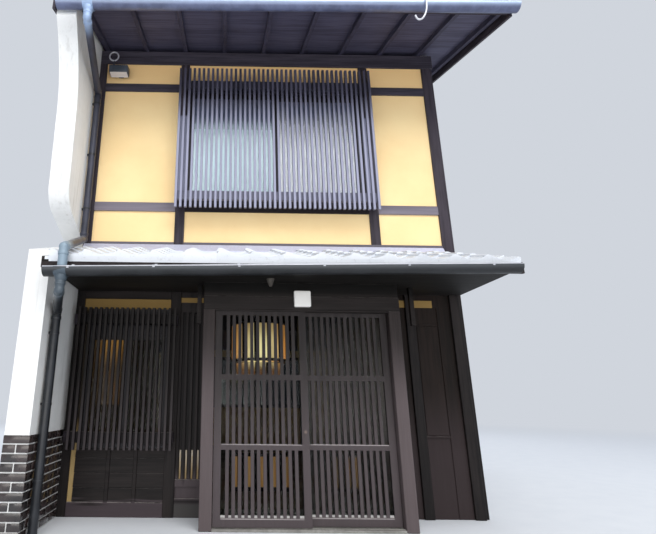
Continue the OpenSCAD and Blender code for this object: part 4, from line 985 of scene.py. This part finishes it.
# The pipes are painted lighter where they stand out in the street, painted light, and the upper pipe's
# lighter colour darkens lower down, painted shade.
pipe_paint = painted("pipe_paint", (48, 50, 62), (62, 64, 78), 0.2, 0.42,
                     ("Y", -3.62, -3.84, (150, 172, 204)), ((132, 150, 164), (72, 84, 94)))
dark_paint = painted("lower_pipe_paint", (32, 34, 38), (46, 49, 54), 0.25, 0.3,
                     ("Y", -3.74, -3.90, (76, 86, 94)))
# Light bare metal for the hangers, strap tips and hook; on the rolled gutter rims its light colour is a
# painted highlight.
bare_metal_and_highlight = painted("bare_metal_and_highlight", (182, 184, 192), (206, 208, 214), 0.3, 0.35)
wear(bare_metal_and_highlight, "gutter_hangers")
wear(pipe_paint, "upper_downpipe")
wear(dark_paint, "lower_downpipe", "back_downpipe", "pipe_clips")

# The points of the pipes are in the measures of the plan, whose middle lies here
plan_x, plan_y = 2.104, 2.760
hanger_x, hanger_step, outer_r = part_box("gutter_hangers")[0].x + 0.011, 0.6862, 0.065
outlets = []
for name, node, side, raised, fall, outlet_x in (("lower", "lower_gutter", -1, 0, 0.02, 0.215),
                                                 ("front", "main_gutters", -1, 0, 0.012, 0.160),
                                                 ("back", "main_gutters", 1, 0.12, 0.012, 0.160)):
    low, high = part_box(node)
    x0, length, z = low.x, high.x - low.x, low.z + outer_r + raised
    y = low.y + outer_r if side < 0 else high.y - outer_r
    # The rolled rim: a light bead, a painted highlight along the gutter's front edge.
    bead = eased(tube("bead", 14, 0.0070, length - 0.004, (length / 2, 0, 0), along_x), 0.002, 2)
    rim = [put(bead, (x0, y + side * (outer_r - 0.0075), z + 0.003), (0, -math.atan(fall), 0))]
    for i in range(6):
        x = hanger_x + i * hanger_step
        tip = eased(block("strap_tip", (x - 0.011, -0.006, -0.012), (x + 0.011, 0.006, 0.010)), 0.002)
        rim.append(put(tip, (0, y + side * (outer_r - 0.0062), z + (x - x0) * fall)))
    fixed(smooth(joined(name + "_gutter_rim", *rim)), bare_metal_and_highlight)
    x, y, z = outlet_x - plan_x, y - side * 0.0046, z + (outlet_x - plan_x - x0) * fall
    sleeve = tube("sleeve", 40, outer_r + 0.0045, 0.100, (x, y, z), along_x, "NOTHING")
    outlets.append(thicken(sawn(sleeve, z + 0.002, clear_outer=True), 0.003))
    funnel = taper("funnel", 28, 0.042, 0.054, 0.05, (x, y, z - outer_r - 0.012))
    outlets.append(eased(funnel, 0.004, 2))
fixed(smooth(joined("gutter_outlets", *outlets)), pipe_paint)


def collar(point, toward):
    """A socket round a pipe, a little way from the elbow at its end."""
    length, gap = 0.030, 0.040
    way = (Vector(toward) - Vector(point)).normalized()
    middle = Vector(point) + way * (gap + length / 2) - Vector((plan_x, plan_y, 0))
    ring = tube("collar", 28, 0.0425, length, middle, way.to_track_quat("Z", "Y").to_euler())
    return eased(ring, 0.003, 2)


for name, paint, run in (
        ("upper", pipe_paint, [(0.160, -1.070, 4.758), (0.160, -1.070, 4.648), (0.052, -0.150, 4.458),
                               (0.052, -0.150, 2.670), (0.215, -1.150, 2.256), (0.215, -1.150, 2.053)]),
        ("lower", dark_paint, [(0.215, -1.150, 2.003), (0.215, -1.150, 1.893), (0.052, -0.690, 1.798),
                               (0.052, -0.690, 0)]),
        ("back", dark_paint, [(0.160, 6.670, 4.878), (0.160, 6.670, 4.768), (0.042, 6.052, 4.458),
                              (0.042, 6.052, 0)])):
    rings = []
    for before, elbow, after in zip(run, run[1:], run[2:]):
        rings += [collar(elbow, before), collar(elbow, after)]
    fixed(smooth(joined(name + "_pipe_collars", *rings)), paint)

path = [(3.478, -1.128, 4.862), (3.480, -1.146, 4.866), (3.482, -1.152, 4.850), (3.480, -1.150, 4.767),
        (3.464, -1.150, 4.700), (3.436, -1.150, 4.640), (3.405, -1.150, 4.612), (3.378, -1.150, 4.612),
        (3.362, -1.150, 4.634), (3.356, -1.150, 4.662)]
line = bpy.data.curves.new("gutter_hook", "CURVE")
line.dimensions, line.bevel_depth, line.bevel_resolution, line.use_fill_caps = "3D", 0.009, 2, True
spline = line.splines.new("POLY")
spline.points.add(len(path) - 1)
for point, (x, y, z) in zip(spline.points, path):
    point.co = (x - plan_x, y - plan_y, z, 1)
spline.type, spline.order_u, spline.use_endpoint_u = "NURBS", 4, True
hook = bpy.data.objects.new("gutter_hook", line)
scene.collection.objects.link(hook)
lone(hook)
bpy.ops.object.convert(target="MESH")
fixed(smooth(bpy.context.object), bare_metal_and_highlight)


# THE FLOOD LAMP
# A cast housing on an arm over the left bay, with cooling fins on top and its glass underneath,
# turned down to the street. A metal ring stands on the plate above it.
housing = painted("flood_grey", (50, 58, 68), (68, 76, 88), 0.2, 0.4)
lamp_body = eased(copied("floodlight", "flood_body", lambda point: point.z < 4.9), 0.004, 2)
stem = eased(tube("stem", 20, 0.007, 0.110, (-1.912, -2.870, 4.890)), 0.001)
fins = repeat(eased(block("fins", (-0.092, -0.112, 0), (-0.088, -0.004, 0.012)), 0.001), 9, (0.0225, 0, 0))
put(fins, (-1.844, -2.812, 4.8795), (math.atan(40 / 120), 0, 0))
flood_body = smooth(joined("flood_body", lamp_body, stem, fins), 30)
fixed(flood_body, housing, replaces=("floodlight",))

ring_middle = (-1.918, -2.870, 5.006)
ring = primitive("flood_ring", bpy.ops.mesh.primitive_torus_add, (0.88, 1, 1), major_segments=40,
                 minor_segments=10, major_radius=0.060, minor_radius=0.0095, location=ring_middle,
                 rotation=along_y)
pick(ring, lambda middle, normal: (middle.x > -1.912 and middle.z < 4.985) or
     (middle.x < -1.948 and middle.z > 5.03))
bpy.ops.transform.resize(value=(1, 0.62, 1), center_override=ring_middle)
bpy.ops.object.mode_set(mode="OBJECT")
ring_metal = painted("galvanised_ring", (176, 177, 186), (206, 207, 214), 0.3, 0.35)
fixed(smooth(ring, 60), ring_metal)

pane = stepped(block("flood_lens", (-0.100, -0.046, -0.003), (0.100, 0.046, 0.001)),
               lambda middle, normal: normal.z < -0.9, (0.007, 0), (0.002, -0.002))
put(pane, (-1.844, -2.860, 4.760))
lens_grey, shader, place = new_finish("lens_grey", Coat_Weight=0.5, Coat_Roughness=0.1)
ribbed = noise(stretched(place, 1, 6, 6), 30, 2)
join_up(shader, mix(ribbed, (222, 214, 212), (240, 235, 232)), rough=(ribbed, 0.25, 0.4),
        bump=(ribbed, 0.2, 0.001))
fixed(pane, lens_grey)
